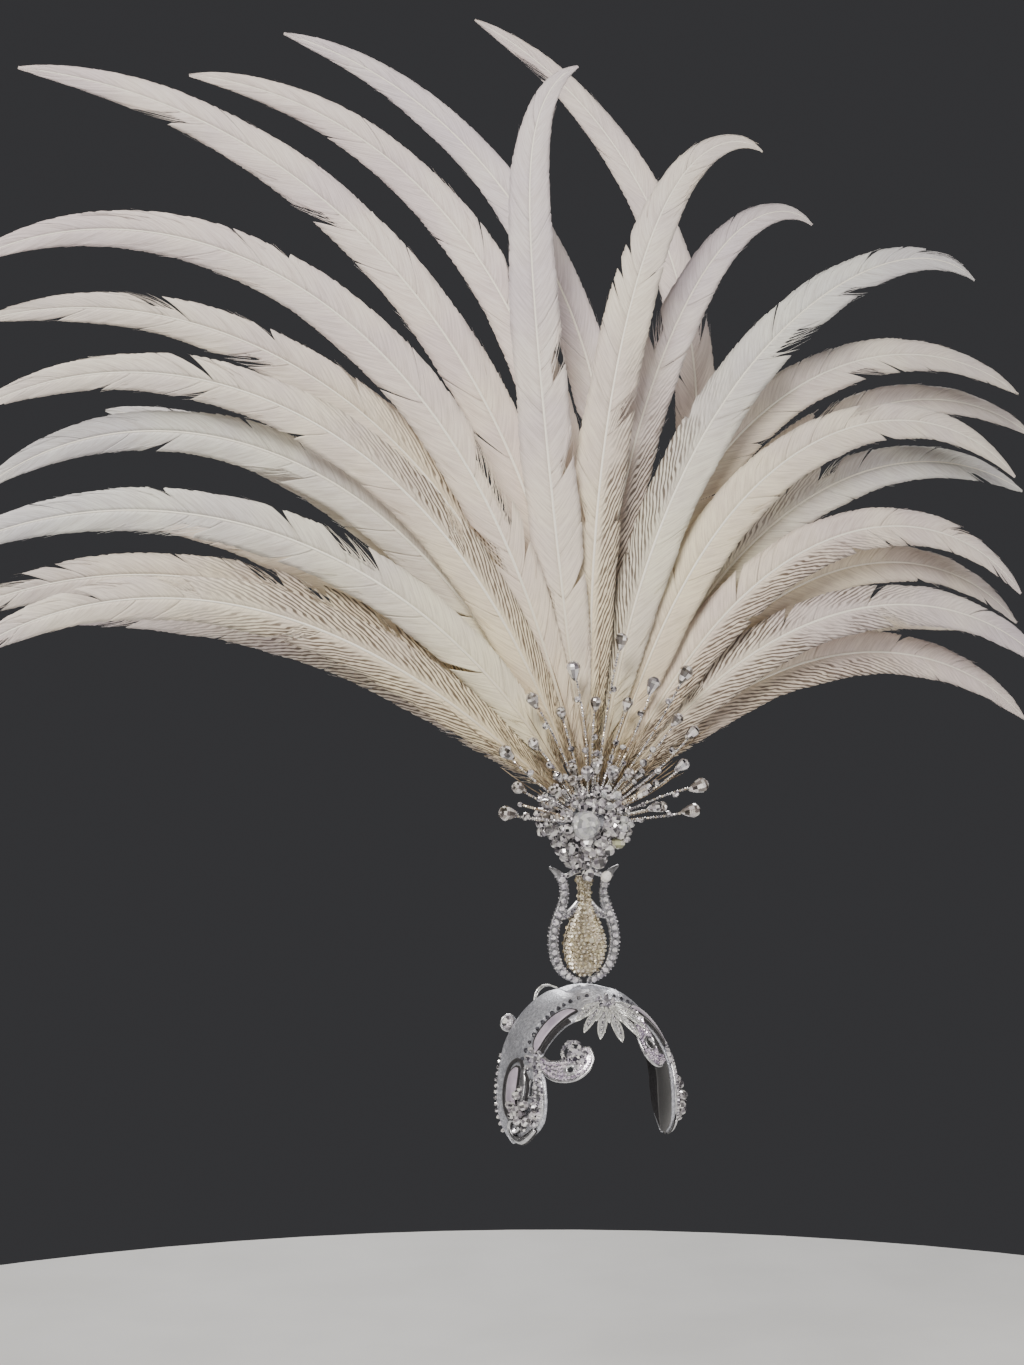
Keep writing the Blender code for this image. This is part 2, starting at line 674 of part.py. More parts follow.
def make_lyre(material, collection):
    outlines = [(closed_outline(LYRE_OUTER), 1)]
    for mirror in (-1, 1):
        outlines.append((closed_hole(LYRE_NECK_HOLE), mirror))
        outlines.append((closed_hole(LYRE_BODY_SLIT), mirror))
    lyre = flat_solid("lyre", outlines, LYRE_THICKNESS, material, collection)
    helpers = new_collection("lyre fused pieces")
    make_arm_stones(material, helpers)
    bm = bmesh.new()
    bottom = LYRE_TOP - 0.004
    top = LYRE_TOP + POST_RISE
    bmesh.ops.create_cone(
        bm, cap_ends=True, segments=12, radius1=POST_RADIUS, radius2=POST_RADIUS, depth=top - bottom
    )
    bmesh.ops.translate(bm, vec=(0, 0, (top + bottom) / 2), verts=bm.verts)
    put_mesh("post", bm, material, helpers)
    unite(lyre, helpers)
    hide_helpers(helpers)
    return lyre


def make_vase(material, collection):
    """The vase of small stones, a plate on the front of the lyre."""
    vase = flat_solid("vase", [(closed_outline(VASE_OUTLINE), 1)], VASE_THICKNESS, material, collection)
    vase.location.y = -(LYRE_THICKNESS + VASE_THICKNESS) / 2 - SEAM_GAP
    return vase


def make_foot(material, collection):
    """The saddle between the lyre and the top of the band."""

    def place(u, v):
        x = (u - 0.5) * 2 * FOOT_HALF_WIDTH
        y = (v - 0.5) * 2 * FOOT_HALF_DEPTH
        return drop_to_head(Vector((x, y, 0.0)), BAND_OUTSIDE)

    return make_sheet("lyre_foot", place, 6, 3, FOOT_THICKNESS, material, collection)


def make_cup(material, collection):
    """The turned cup, bored for the post, with its rings of crystals."""
    bore = POST_RADIUS + SEAM_GAP
    outline = [(CUP_TOP_RADIUS * point.radius, CUP_BASE + CUP_HEIGHT * point.height) for point in CUP_PROFILE]
    outline = [(bore, CUP_BASE), *outline, (bore, CUP_TOP)]
    bm = bmesh.new()
    ring = [bm.verts.new((radius, 0.0, height)) for radius, height in outline]
    edges = [bm.edges.new((a, b)) for a, b in zip(ring, ring[1:] + ring[:1])]
    bmesh.ops.spin(
        bm, geom=ring + edges, cent=(0, 0, 0), axis=(0, 0, 1), angle=math.tau, steps=12, use_merge=True
    )
    bmesh.ops.recalc_face_normals(bm, faces=bm.faces)
    cup = put_mesh("crystal_cup", bm, material, collection)
    helpers = new_collection("cup crystals")
    for ring_row in CRYSTAL_RINGS:
        for index in range(ring_row.count):
            turn = math.radians(ring_row.turn) + math.tau * index / ring_row.count
            radius = CUP_TOP_RADIUS * ring_row.radius
            height = CUP_BASE + CUP_HEIGHT * ring_row.height
            centre = (radius * math.cos(turn), radius * math.sin(turn), height)
            bm = bmesh.new()
            bmesh.ops.create_icosphere(bm, subdivisions=1, radius=CRYSTAL_RADIUS * ring_row.size)
            spin = Matrix.Rotation(turn, 3, "Z")
            bmesh.ops.rotate(bm, cent=(0, 0, 0), matrix=spin, verts=bm.verts)
            bmesh.ops.translate(bm, vec=centre, verts=bm.verts)
            put_mesh(f"crystal_{ring_row.count}_{index}", bm, material, helpers)
    unite(cup, helpers)
    hide_helpers(helpers)
    return cup


def make_socket(material, collection, cutters):
    """The fan-shaped block whose round edge takes the quills."""
    half_angle = 86
    steps = 24
    arc = []
    for step in range(steps + 1):
        turn = math.radians(-half_angle + 2 * half_angle * step / steps)
        arc.append((SOCKET_RADIUS * math.sin(turn), SOCKET_RADIUS * math.cos(turn)))
    points = [(-CUP_TOP_RADIUS, -SOCKET_BLOCK_BELOW), *arc, (CUP_TOP_RADIUS, -SOCKET_BLOCK_BELOW)]
    bm = bmesh.new()
    face = bm.faces.new([bm.verts.new((x, -SOCKET_HALF_DEPTH, SOCKET_CENTRE_Z + z)) for x, z in points])
    made = bmesh.ops.extrude_face_region(bm, geom=[face])
    top = [item for item in made["geom"] if isinstance(item, bmesh.types.BMVert)]
    bmesh.ops.translate(bm, vec=(0, 2 * SOCKET_HALF_DEPTH, 0), verts=top)
    bmesh.ops.recalc_face_normals(bm, faces=bm.faces)
    socket = put_mesh("feather_socket", bm, material, collection)
    bm = bmesh.new()
    bottom = CUP_TOP - 0.01
    top_z = LYRE_TOP + POST_RISE + SEAM_GAP
    bore = POST_RADIUS + SEAM_GAP
    bmesh.ops.create_cone(bm, cap_ends=True, segments=12, radius1=bore, radius2=bore, depth=top_z - bottom)
    bmesh.ops.translate(bm, vec=(0, 0, (top_z + bottom) / 2), verts=bm.verts)
    cutter = put_mesh("cutter_socket_bore", bm, material, cutters)
    hole = socket.modifiers.new("bore", "BOOLEAN")
    hole.operation = "DIFFERENCE"
    hole.object = cutter
    return socket


def make_dome(material, collection):
    """The large round crystal in front of the socket."""
    bm = bmesh.new()
    bmesh.ops.create_uvsphere(bm, u_segments=12, v_segments=8, radius=DOME_RADIUS)
    geometry = [*bm.verts, *bm.edges, *bm.faces]
    cut = bmesh.ops.bisect_plane(
        bm, geom=geometry, plane_co=(0, 0, 0), plane_no=(0, 0, -1), clear_outer=True, dist=0.00001
    )
    rim = [item for item in cut["geom_cut"] if isinstance(item, bmesh.types.BMEdge)]
    bmesh.ops.contextual_create(bm, geom=rim)
    bmesh.ops.rotate(bm, cent=(0, 0, 0), matrix=Matrix.Rotation(math.radians(90), 3, "X"), verts=bm.verts)
    front = -SOCKET_HALF_DEPTH - SEAM_GAP - COMB_THICKNESS - SEAM_GAP
    bmesh.ops.translate(bm, vec=(DOME_OFFSET, front, SOCKET_CENTRE_Z + DOME_RISE), verts=bm.verts)
    bmesh.ops.recalc_face_normals(bm, faces=bm.faces)
    return put_mesh("crystal_dome", bm, material, collection)


def feather_line(feather):
    """Centre points and travel directions of a feather at its stations, from the socket to the tip."""
    length = FEATHER_LENGTH * feather.length
    row_y = (feather.row - (ROW_COUNT - 1) / 2) * ROW_PITCH
    fan = math.radians(feather.fan)
    seat = SOCKET_RADIUS + SEAM_GAP
    point = Vector((seat * math.sin(fan), row_y, SOCKET_CENTRE_Z + seat * math.cos(fan)))

    def travel(along):
        bend = (feather.tip - feather.fan) * along ** feather.hook + feather.crook * along ** CROOK_POWER
        turn = fan + math.radians(bend)
        slope = math.radians(feather.lean + (feather.curl - feather.lean) * along)
        return Vector((math.sin(turn) * math.cos(slope), math.sin(slope), math.cos(turn) * math.cos(slope)))

    fine = 8
    line = [(point.copy(), travel(0.0))]
    for station, following in zip(VANE_STATIONS, VANE_STATIONS[1:]):
        for step in range(fine):
            share = (step + 0.5) / fine
            along = station.along + share * (following.along - station.along)
            point += travel(along) * length * (following.along - station.along) / fine
        line.append((point.copy(), travel(following.along)))
    return line


def feather_section(centre, travel, station, feather):
    """Six points round a feather: the vane's two thin edges, and the rachis on its face and its back."""
    face = Vector((0.0, -1.0, 0.0))
    side = travel.cross(face).normalized()
    normal = side.cross(travel).normalized()
    roll = math.radians(SHINGLE_ROLL)
    rolled = side * math.cos(roll) + normal * math.sin(roll)
    normal = normal * math.cos(roll) - side * math.sin(roll)
    side = rolled
    quill = QUILL_RADIUS * station.rachis
    half = max(FEATHER_WIDTH / 2 * feather.width * station.half_width, 0.87 * quill)
    edge = min(VANE_EDGE_THICKNESS / 2, 0.5 * quill) if half > quill else 0.5 * quill
    back = -VANE_FOLD * (half - 0.87 * quill)
    return [
        centre - side * half + normal * (back + edge),
        centre + normal * quill,
        centre + side * half + normal * (back + edge),
        centre + side * half + normal * (back - edge),
        centre - normal * quill * 0.9,
        centre - side * half + normal * (back - edge),
    ]


def make_feather(feather, material, collection):
    """A tail feather, lofted from its round quill through its vane to the tip."""
    bm = bmesh.new()
    rings = []
    for (centre, travel), station in zip(feather_line(feather), VANE_STATIONS):
        section = feather_section(centre, travel, station, feather)
        rings.append([bm.verts.new(point) for point in section])
    for ring, following in zip(rings, rings[1:]):
        for index in range(6):
            after = (index + 1) % 6
            bm.faces.new((ring[index], ring[after], following[after], following[index]))
    bm.faces.new(rings[0][::-1])
    bm.faces.new(rings[-1])
    bmesh.ops.recalc_face_normals(bm, faces=bm.faces)
    piece = put_mesh("feather_" + feather.name, bm, material, collection)
    piece.data.shade_smooth()
    return piece


def spray_radii(spray):
    """Stations and radii along a spray: wire, round bead, wire, and the drop at its end."""
    drop = DROP_RADIUS * spray.drop
    drop_start = 1 - DROP_LENGTH * spray.drop / spray.length
    bead = BEAD_RADIUS / spray.length
    wire = SPRAY_WIRE_RADIUS
    at = spray.bead_at
    return (
        (0.0, wire),
        (at - bead, wire),
        (at, BEAD_RADIUS),
        (at + bead, wire),
        (drop_start, wire),
        (drop_start + 0.72 * (1 - drop_start), drop),
        (1.0, 0.45 * drop),
    )


def make_spray(spray, material, collection):
    """One wire of a spray, rising out of its comb and ending in a crystal drop."""
    sides = 5
    turn = math.radians(spray.angle)
    base_radius = (COMB_INNER_RADIUS + COMB_OUTER_RADIUS) / 2
    comb_y = -SOCKET_HALF_DEPTH - SEAM_GAP - COMB_THICKNESS / 2
    base = Vector((base_radius * math.sin(turn), comb_y, SOCKET_CENTRE_Z + base_radius * math.cos(turn)))
    lean = math.radians(SPRAY_LEAN)
    travel = Vector((math.sin(turn) * math.cos(lean), -math.sin(lean), math.cos(turn) * math.cos(lean)))
    side = travel.cross(Vector((0, -1, 0))).normalized()
    front = side.cross(travel)
    bm = bmesh.new()
    rings = []
    for along, radius in spray_radii(spray):
        centre = base + travel * spray.length * along
        ring = []
        for index in range(sides):
            around = math.tau * index / sides
            offset = side * math.cos(around) + front * math.sin(around)
            ring.append(bm.verts.new(centre + offset * radius))
        rings.append(ring)
    for ring, following in zip(rings, rings[1:]):
        for index in range(sides):
            after = (index + 1) % sides
            bm.faces.new((ring[index], ring[after], following[after], following[index]))
    bm.faces.new(rings[0][::-1])
    bm.faces.new(rings[-1])
    bmesh.ops.recalc_face_normals(bm, faces=bm.faces)
    return put_mesh(f"spray_wire_{spray.group}_{spray.angle}", bm, material, collection)


def make_spray_group(group, material, collection):
    """A comb in front of the socket with the sprays that rise from it."""
    sprays = [spray for spray in SPRAYS if spray.group == group]
    margin = 3.4
    start = sprays[0].angle - margin
    end = sprays[-1].angle + margin
    back = -SOCKET_HALF_DEPTH - SEAM_GAP

    def place(u, v):
        turn = math.radians(start + u * (end - start))
        radius = COMB_INNER_RADIUS + v * (COMB_OUTER_RADIUS - COMB_INNER_RADIUS)
        return Vector((radius * math.sin(turn), back, SOCKET_CENTRE_Z + radius * math.cos(turn)))

    bm = bmesh.new()
    bmesh.ops.create_grid(bm, x_segments=8, y_segments=1, size=0.5)
    for vertex in bm.verts:
        vertex.co = place(vertex.co.x + 0.5, vertex.co.y + 0.5)
    bm.normal_update()
    if bm.faces[:][0].normal.y > 0:
        bmesh.ops.reverse_faces(bm, faces=bm.faces)
    comb = put_mesh("spray_" + group, bm, material, collection)
    thicken(comb, COMB_THICKNESS)
    helpers = new_collection("spray wires " + group)
    for spray in sprays:
        make_spray(spray, material, helpers)
    unite(comb, helpers)
    hide_helpers(helpers)
    return comb


def main():
    clear_scene()
    parts = new_collection("feathered headdress")
    cutters = new_collection("cutters")
    silver = make_material("silver", (0.62, 0.63, 0.66), 0.34, 1.0)
    lilac = make_material("lilac satin", (0.52, 0.47, 0.55), 0.45)
    black = make_material("black velvet", (0.02, 0.02, 0.02), 0.9)
    strass = make_material("strass", (0.80, 0.81, 0.84), 0.12, 0.6)
    gold_strass = make_material("cream strass", (0.76, 0.68, 0.50), 0.22, 0.5)
    crystal = make_material("crystal", (0.78, 0.80, 0.79), 0.08)
    feather_white = make_material("white feather", (0.86, 0.81, 0.76), 0.7)

    make_band(silver, parts, cutters)
    for side, label in ((-1, "right"), (1, "left")):
        make_trim("crescent_" + label, side, CRESCENT_ROWS, 8, 1, lilac, parts)
        make_trim("front_edge_" + label, side, FRONT_EDGE_ROWS, 7, 1, black, parts)
        make_trim("side_panel_" + label, side, SIDE_PANEL_ROWS, 6, 2, lilac, parts)
        make_trim("side_rib_" + label, side, SIDE_RIB_ROWS, 6, 1, silver, parts)
        make_trim("temple_strip_" + label, side, TEMPLE_STRIP_ROWS, 7, 2, strass, parts)
        rows = LEFT_SCROLL_ROWS if side > 0 else SCROLL_ROWS
        scroll = make_ribbon("scroll_" + label, side, rows, SCROLL_LENGTH, strass, parts)
        for eyelet in EYELETS:
            if eyelet.side == side:
                middle = head_point(side * eyelet.around, eyelet.ahead, BAND_OUTSIDE)
                pierce(scroll, middle, EYELET_RADIUS, cutters)
        make_ribbon("ear_scroll_" + label, side, EAR_SCROLL_ROWS, EAR_SCROLL_WIDTH, silver, parts)
    make_palmette(silver, parts)
    make_button(strass, parts)
    make_wire_loop(silver, parts)
    make_foot(silver, parts)
    make_lyre(silver, parts)
    make_vase(gold_strass, parts)
    make_cup(crystal, parts)
    make_socket(silver, parts, cutters)
    make_dome(crystal, parts)
    for group in ("right", "front", "left"):
        make_spray_group(group, crystal, parts)
    for feather in FEATHERS:
        make_feather(feather, feather_white, parts)
    hide_helpers(cutters)


main()
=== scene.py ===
"""Feathered headdress: a padded silver band over the crown, a lyre-shaped stem of stones, a cluster of
crystals and wire sprays, and a fan of long white tail feathers. Metres, +Z up, the wearer faces -Y."""
import math
import random
from collections import namedtuple

import bmesh
import bpy
from mathutils import Matrix, Vector, noise


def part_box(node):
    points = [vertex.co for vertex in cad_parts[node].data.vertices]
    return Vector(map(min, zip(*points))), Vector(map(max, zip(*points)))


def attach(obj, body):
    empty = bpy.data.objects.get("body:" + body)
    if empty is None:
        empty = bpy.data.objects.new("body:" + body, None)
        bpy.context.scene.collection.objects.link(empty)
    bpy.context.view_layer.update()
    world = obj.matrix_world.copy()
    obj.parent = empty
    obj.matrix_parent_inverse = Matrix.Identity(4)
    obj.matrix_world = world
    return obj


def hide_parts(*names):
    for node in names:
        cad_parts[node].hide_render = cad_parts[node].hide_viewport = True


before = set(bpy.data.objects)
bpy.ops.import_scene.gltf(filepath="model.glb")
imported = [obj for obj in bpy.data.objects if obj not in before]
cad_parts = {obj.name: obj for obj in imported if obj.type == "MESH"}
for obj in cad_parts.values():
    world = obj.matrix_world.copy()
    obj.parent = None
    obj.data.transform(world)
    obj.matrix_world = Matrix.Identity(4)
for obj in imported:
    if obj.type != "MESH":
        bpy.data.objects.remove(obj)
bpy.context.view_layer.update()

# Studio. A plain pale floor well below the headdress, a plain grey room and large soft lights. The camera is
# level and stands off the wearer's right front, as in the photo.
FLOOR_HEIGHT = -0.62
FLOOR_RADIUS = 1.7
CAMERA_PLACE = (-0.776, -1.845, 0.270)
CAMERA_TURN = -21.0

camera_data = bpy.data.cameras.new("camera")
camera_data.lens = 60.0
camera_data.sensor_fit = "VERTICAL"
camera_data.sensor_height = 36.0
camera = bpy.data.objects.new("camera", camera_data)
camera.location = CAMERA_PLACE
camera.rotation_euler = (math.radians(90), 0, math.radians(CAMERA_TURN))
bpy.context.scene.collection.objects.link(camera)
bpy.context.scene.camera = camera


def rows_of(kind, *rows):
    """A table: each row of values as a named tuple of its kind."""
    return tuple(kind(*row) for row in rows)


StudioLight = namedtuple("StudioLight", "name place target size power colour")
STUDIO_LIGHTS = rows_of(
    StudioLight, ("key", (-1.6, -2.2, 1.9), (-0.05, 0, 0.35), 1.3, 124, (1.0, 0.96, 0.90)),
    ("fill", (2.3, -2.1, 0.8), (0.0, 0, 0.3), 1.8, 25, (1.0, 0.95, 0.92)),
    ("back", (0.9, 2.4, 1.7), (0.0, 0, 0.5), 1.4, 70, (1.0, 0.98, 0.96)),
    ("low", (-0.9, -1.7, -0.35), (0.0, 0, 0.05), 0.5, 4, (1.0, 0.98, 0.95)),
)
for light in STUDIO_LIGHTS:
    lamp = bpy.data.lights.new(light.name, "AREA")
    lamp.shape = "DISK"
    lamp.size = light.size
    lamp.energy = light.power
    lamp.color = light.colour
    holder = bpy.data.objects.new(light.name, lamp)
    holder.location = light.place
    aim = Vector(light.target) - Vector(light.place)
    holder.rotation_euler = aim.to_track_quat("-Z", "Y").to_euler()
    bpy.context.scene.collection.objects.link(holder)

world = bpy.data.worlds.new("grey room")
world.use_nodes = True
world.node_tree.nodes["Background"].inputs["Color"].default_value = (0.040, 0.040, 0.043, 1.0)
world.node_tree.nodes["Background"].inputs["Strength"].default_value = 1.0
bpy.context.scene.world = world


def new_material(name, colour, roughness, metallic=0.0):
    """A material with its shader, ready for nodes of its own."""
    material = bpy.data.materials.new(name)
    material.use_nodes = True
    shader = material.node_tree.nodes["Principled BSDF"]
    shader.inputs["Base Color"].default_value = (*colour, 1.0)
    shader.inputs["Roughness"].default_value = roughness
    shader.inputs["Metallic"].default_value = metallic
    return material, material.node_tree, shader


def add_node(tree, kind, **settings):
    """A shader node; a setting named in_SOCKET goes to an input, where a socket is linked, others to the node."""
    node = tree.nodes.new(kind)
    for key, value in settings.items():
        if not key.startswith("in_"):
            setattr(node, key, value)
            continue
        socket = node.inputs[key[3:].replace("_", " ")]
        if isinstance(value, bpy.types.NodeSocket):
            tree.links.new(value, socket)
        else:
            socket.default_value = value
    return node


def texture_place(tree, kind="Object"):
    return add_node(tree, "ShaderNodeTexCoord").outputs[kind]


def object_noise(tree, scale, detail=2.0):
    """A noise read in metres from the object's own coordinates."""
    place = texture_place(tree)
    return add_node(tree, "ShaderNodeTexNoise", in_Vector=place, in_Scale=scale, in_Detail=detail).outputs["Fac"]


def colour_blend(tree, factor, low, high, start, end):
    """Two colours blended by a grey pattern between two of its levels."""
    ramp = add_node(tree, "ShaderNodeValToRGB", in_Fac=factor)
    for stop, (place, colour) in zip(ramp.color_ramp.elements, ((start, low), (end, high))):
        stop.position = place
        stop.color = (*colour, 1.0)
    return ramp.outputs["Color"]


def map_range(tree, value, start=0.0, end=1.0, low=0.0, high=1.0):
    """A value between start and end, mapped from low to high."""
    return add_node(
        tree, "ShaderNodeMapRange", in_Value=value, in_From_Min=start, in_From_Max=end, in_To_Min=low,
        in_To_Max=high,
    ).outputs["Result"]


def vary_roughness(tree, shader, factor, low, high):
    tree.links.new(map_range(tree, factor, low=low, high=high), shader.inputs["Roughness"])


def add_bump(tree, shader, height, strength, distance):
    bump = add_node(tree, "ShaderNodeBump", in_Height=height, in_Strength=strength, in_Distance=distance)
    tree.links.new(bump.outputs["Normal"], shader.inputs["Normal"])


def mottled(name, colour, roughness, metallic, scale, detail, low, high, span=(0.35, 0.65), gloss=None, bump=None,
            **inputs):
    """A material whose colour shifts with a noise over the piece, and where told its gloss and its surface."""
    material, tree, shader = new_material(name, colour, roughness, metallic)
    pattern = object_noise(tree, scale, detail)
    tree.links.new(colour_blend(tree, pattern, low, high, *span), shader.inputs["Base Color"])
    if gloss:
        vary_roughness(tree, shader, pattern, *gloss)
    if bump:
        add_bump(tree, shader, pattern, *bump)
    for key, value in inputs.items():
        shader.inputs[key.replace("_", " ")].default_value = value
    return material


floor_paint = mottled(
    "pale floor", (0.80, 0.80, 0.79), 0.85, 0.0, 6.0, 2.0, (0.77, 0.77, 0.76), (0.82, 0.82, 0.81)
)
bm = bmesh.new()
bmesh.ops.create_circle(bm, cap_ends=True, segments=96, radius=FLOOR_RADIUS)
bmesh.ops.translate(bm, vec=(0, 0, FLOOR_HEIGHT), verts=bm.verts)
floor_mesh = bpy.data.meshes.new("floor")
bm.to_mesh(floor_mesh)
bm.free()
floor_mesh.materials.append(floor_paint)
floor = bpy.data.objects.new("floor", floor_mesh)
bpy.context.scene.collection.objects.link(floor)


# Crown band. A stiff metal band over the crown from ear to ear, padded and covered in silver-grey glitter
# cloth, with a thick roll behind, black inner faces as painted shade inside the band, and a pierced slot over each
# temple.
HEAD_HALF_WIDTH = 0.073
HEAD_HALF_DEPTH = 0.095
HEAD_CROWN_HEIGHT = 0.092
HEAD_CENTRE = Vector((0.0, 0.0, -HEAD_CROWN_HEIGHT))
BAND_THICKNESS = 0.0024
BAND_WALL = 0.0016
RIM_ROLL = 0.0036
BandEdge = namedtuple("BandEdge", "around front back")
BAND_EDGES = rows_of(
    BandEdge, (0, 0.50, 0.34), (20, 0.52, 0.34), (32, 0.49, 0.34), (46, 0.47, 0.33), (58, 0.46, 0.30),
    (66, 0.51, 0.26), (72, 0.57, 0.23), (82, 0.61, 0.21), (92, 0.61, 0.20), (100, 0.57, 0.15),
    (106, 0.47, 0.06), (112, 0.28, -0.10),
)


def smooth_rows(rows, steps):
    """Points on a smooth line through the rows of a table, steps of them from each row to the next."""
    padded = [rows[0], *rows, rows[-1]]
    points = []
    for index in range(1, len(padded) - 2):
        before, start, end, after = padded[index - 1:index + 3]
        for step in range(steps):
            t = step / steps
            point = []
            for a, b, c, d in zip(before, start, end, after):
                bend = (2 * a - 5 * b + 4 * c - d) * t + (3 * b - a - 3 * c + d) * t * t
                point.append(b + 0.5 * t * (c - a + bend))
            points.append(point)
    points.append(list(rows[-1]))
    return points


def table_value(rows, place, column):
    """Read a column of a table, straight between its rows, at a place in its first column."""
    for row, following in zip(rows, rows[1:]):
        if place <= following[0]:
            share = (place - row[0]) / (following[0] - row[0])
            return row[column] + share * (following[column] - row[column])
    return rows[-1][column]


def head_point(around, ahead, lift):
    """A point on the head: degrees down from the crown, share of the depth ahead, height off the skin."""
    ring = math.sqrt(max(0.0, 1 - ahead * ahead))
    across, up = ring * math.sin(math.radians(around)), ring * math.cos(math.radians(around))
    skin = Vector((HEAD_HALF_WIDTH * across, -HEAD_HALF_DEPTH * ahead, HEAD_CROWN_HEIGHT * up))
    return HEAD_CENTRE + skin + lift * head_normal(HEAD_CENTRE + skin)


def head_normal(point):
    ray = point - HEAD_CENTRE
    outward = (ray.x / HEAD_HALF_WIDTH ** 2, ray.y / HEAD_HALF_DEPTH ** 2, ray.z / HEAD_CROWN_HEIGHT ** 2)
    return Vector(outward).normalized()


def lay_grid(bm, along, across, place, closed=False, slot=0, span=(0.0, 1.0)):
    """Lay a grid where place(u, v) says, u and v from 0 to 1; closed joins v = 0 to 1. span is its map in U."""
    layer = bm.loops.layers.uv.verify()
    made = bmesh.ops.create_grid(bm, x_segments=along, y_segments=across, size=0.5)["verts"]
    faces = {face for vertex in made for face in vertex.link_faces}
    for face in faces:
        face.smooth = True
        face.material_index = slot
        for loop in face.loops:
            along_map = span[0] + (loop.vert.co.x + 0.5) * (span[1] - span[0])
            loop[layer].uv = (along_map, loop.vert.co.y + 0.5)
    for vertex in made:
        vertex.co = place(vertex.co.x + 0.5, vertex.co.y + 0.5)
    if closed:
        bmesh.ops.remove_doubles(bm, verts=made, dist=0.000001)


def add_piece(name, bm, materials, replaced=()):
    """Turn a bmesh into a piece of the headdress that rides on it."""
    mesh = bpy.data.meshes.new(name)
    bm.to_mesh(mesh)
    bm.free()
    for material in materials:
        mesh.materials.append(material)
    piece = bpy.data.objects.new(name, mesh)
    bpy.context.scene.collection.objects.link(piece)
    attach(piece, "root")
    if replaced:
        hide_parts(*replaced)
    return piece


def add_wall(piece, thickness, offset=-1.0):
    wall = piece.modifiers.new("wall", "SOLIDIFY")
    wall.thickness = thickness
    wall.offset = offset


def face_out(bm, way=None):
    """Turn sheets so that they look one way, or away from the head that they are laid on."""
    bm.normal_update()
    for face in bm.faces:
        if face.normal.dot(way or face.calc_center_median() - HEAD_CENTRE) < 0:
            face.normal_flip()


glitter = mottled(
    "silver glitter cloth", (0.52, 0.53, 0.57), 0.36, 0.5, 420.0, 3.0, (0.38, 0.39, 0.44), (0.68, 0.69, 0.75)
)
tree = glitter.node_tree
shader = tree.nodes["Principled BSDF"]
flakes = add_node(tree, "ShaderNodeTexVoronoi", in_Vector=texture_place(tree), in_Scale=900.0).outputs["Distance"]
vary_roughness(tree, shader, flakes, 0.18, 0.52)
add_bump(tree, shader, flakes, 0.55, 0.0006)

BAND_SMOOTH = smooth_rows(BAND_EDGES, 6)


def band_profile(around, v):
    """Height of the padded cloth over the stiff band: a low front strip, a groove, and a full roll behind it.

    Beside the ears the panels lie on the band, so the roll shrinks there to a thin rim at the back.
    """
    beside_ear = min(1.0, max(0.0, (abs(around) - 50) / 14))
    crown_flat = 0.30 + 0.70 * min(1.0, max(0.0, (abs(around) - 13) / 8))
    roll = math.sin(math.pi * min(1.0, max(0.0, (v - 0.31) / 0.69))) ** 0.6
    thin_rim = math.exp(-((v - 0.90) / 0.06) ** 2)
    front_edge = 0.25 * math.exp(-((v - 0.05) / 0.05) ** 2)
    groove = -0.15 * math.exp(-((v - 0.27) / 0.03) ** 2)
    return (1 - beside_ear) * (roll * crown_flat + groove) + beside_ear * 0.75 * thin_rim + front_edge


def band_place(u, v):
    around = (2 * u - 1) * BAND_EDGES[-1].around
    front = table_value(BAND_SMOOTH, abs(around), 1)
    back = table_value(BAND_SMOOTH, abs(around), 2)
    edge = min(v, 1 - v) / 0.04
    drop = 0.0012 * (1 - min(1.0, edge)) ** 2
    lift = BAND_THICKNESS - drop + RIM_ROLL * band_profile(around, v) * min(1.0, edge)
    return head_point(around, front + v * (-back - front), lift)


SLOT_AROUND = 79.0
SLOT_HALF_TURN = 5.0
SLOT_AHEAD = (0.42, 0.465)


def in_side_slot(point):
    """Whether a point of the band lies in the pierced slot over a temple."""
    ray = point - HEAD_CENTRE
    around = math.degrees(math.atan2(abs(ray.x) / HEAD_HALF_WIDTH, ray.z / HEAD_CROWN_HEIGHT))
    ahead = -ray.y / HEAD_HALF_DEPTH
    return abs(around - SLOT_AROUND) < SLOT_HALF_TURN and SLOT_AHEAD[0] < ahead < SLOT_AHEAD[1]


# One black material for the black lines and for painted shade: the band's inner faces and the strips before the
# crescents.
velvet_and_shade = mottled(
    "black velvet", (0.012, 0.011, 0.013), 0.85, 0.0, 800.0, 2.0, (0.008, 0.007, 0.009), (0.03, 0.028, 0.032),
    bump=(0.4, 0.0004), Sheen_Weight=0.2,
)

bm = bmesh.new()
lay_grid(bm, 280, 80, band_place)
pierced = [face for face in bm.faces if in_side_slot(face.calc_center_median())]
bmesh.ops.delete(bm, geom=pierced, context="FACES")
face_out(bm)
band = add_piece("padded_band", bm, [glitter, velvet_and_shade], ["crown_band"])
add_wall(band, BAND_WALL)
# The inner faces take the black material: painted shade inside the band.
band.modifiers["wall"].material_offset = 1


# Dark stones of the band. A line of small jet stones glued along the band behind the crescent panels, with a
# few clear ones by the knot where the scroll starts. Each is a low cut stone with a table.
SIDES = ((-1, "right"), (1, "left"))
# Random draws for the painted reflections of facets: each facet of a stone gets a fixed brightness of its own.
painted_glint_draws = random.Random(2)


def paint_facet_glints(bm, made, slot):
    """Give each facet of a stone its material slot and a random place on the UV map, from which its material takes
    a painted reflection, a brightness of its own.
    """
    layer = bm.loops.layers.uv.verify()
    faces = {face for vertex in made for face in vertex.link_faces}
    for face in sorted(faces, key=lambda facet: facet.calc_center_median().to_tuple(6)):
        face.material_index = slot
        painted_glint = painted_glint_draws.random()
        for loop in face.loops:
            loop[layer].uv = (painted_glint, 0.5)


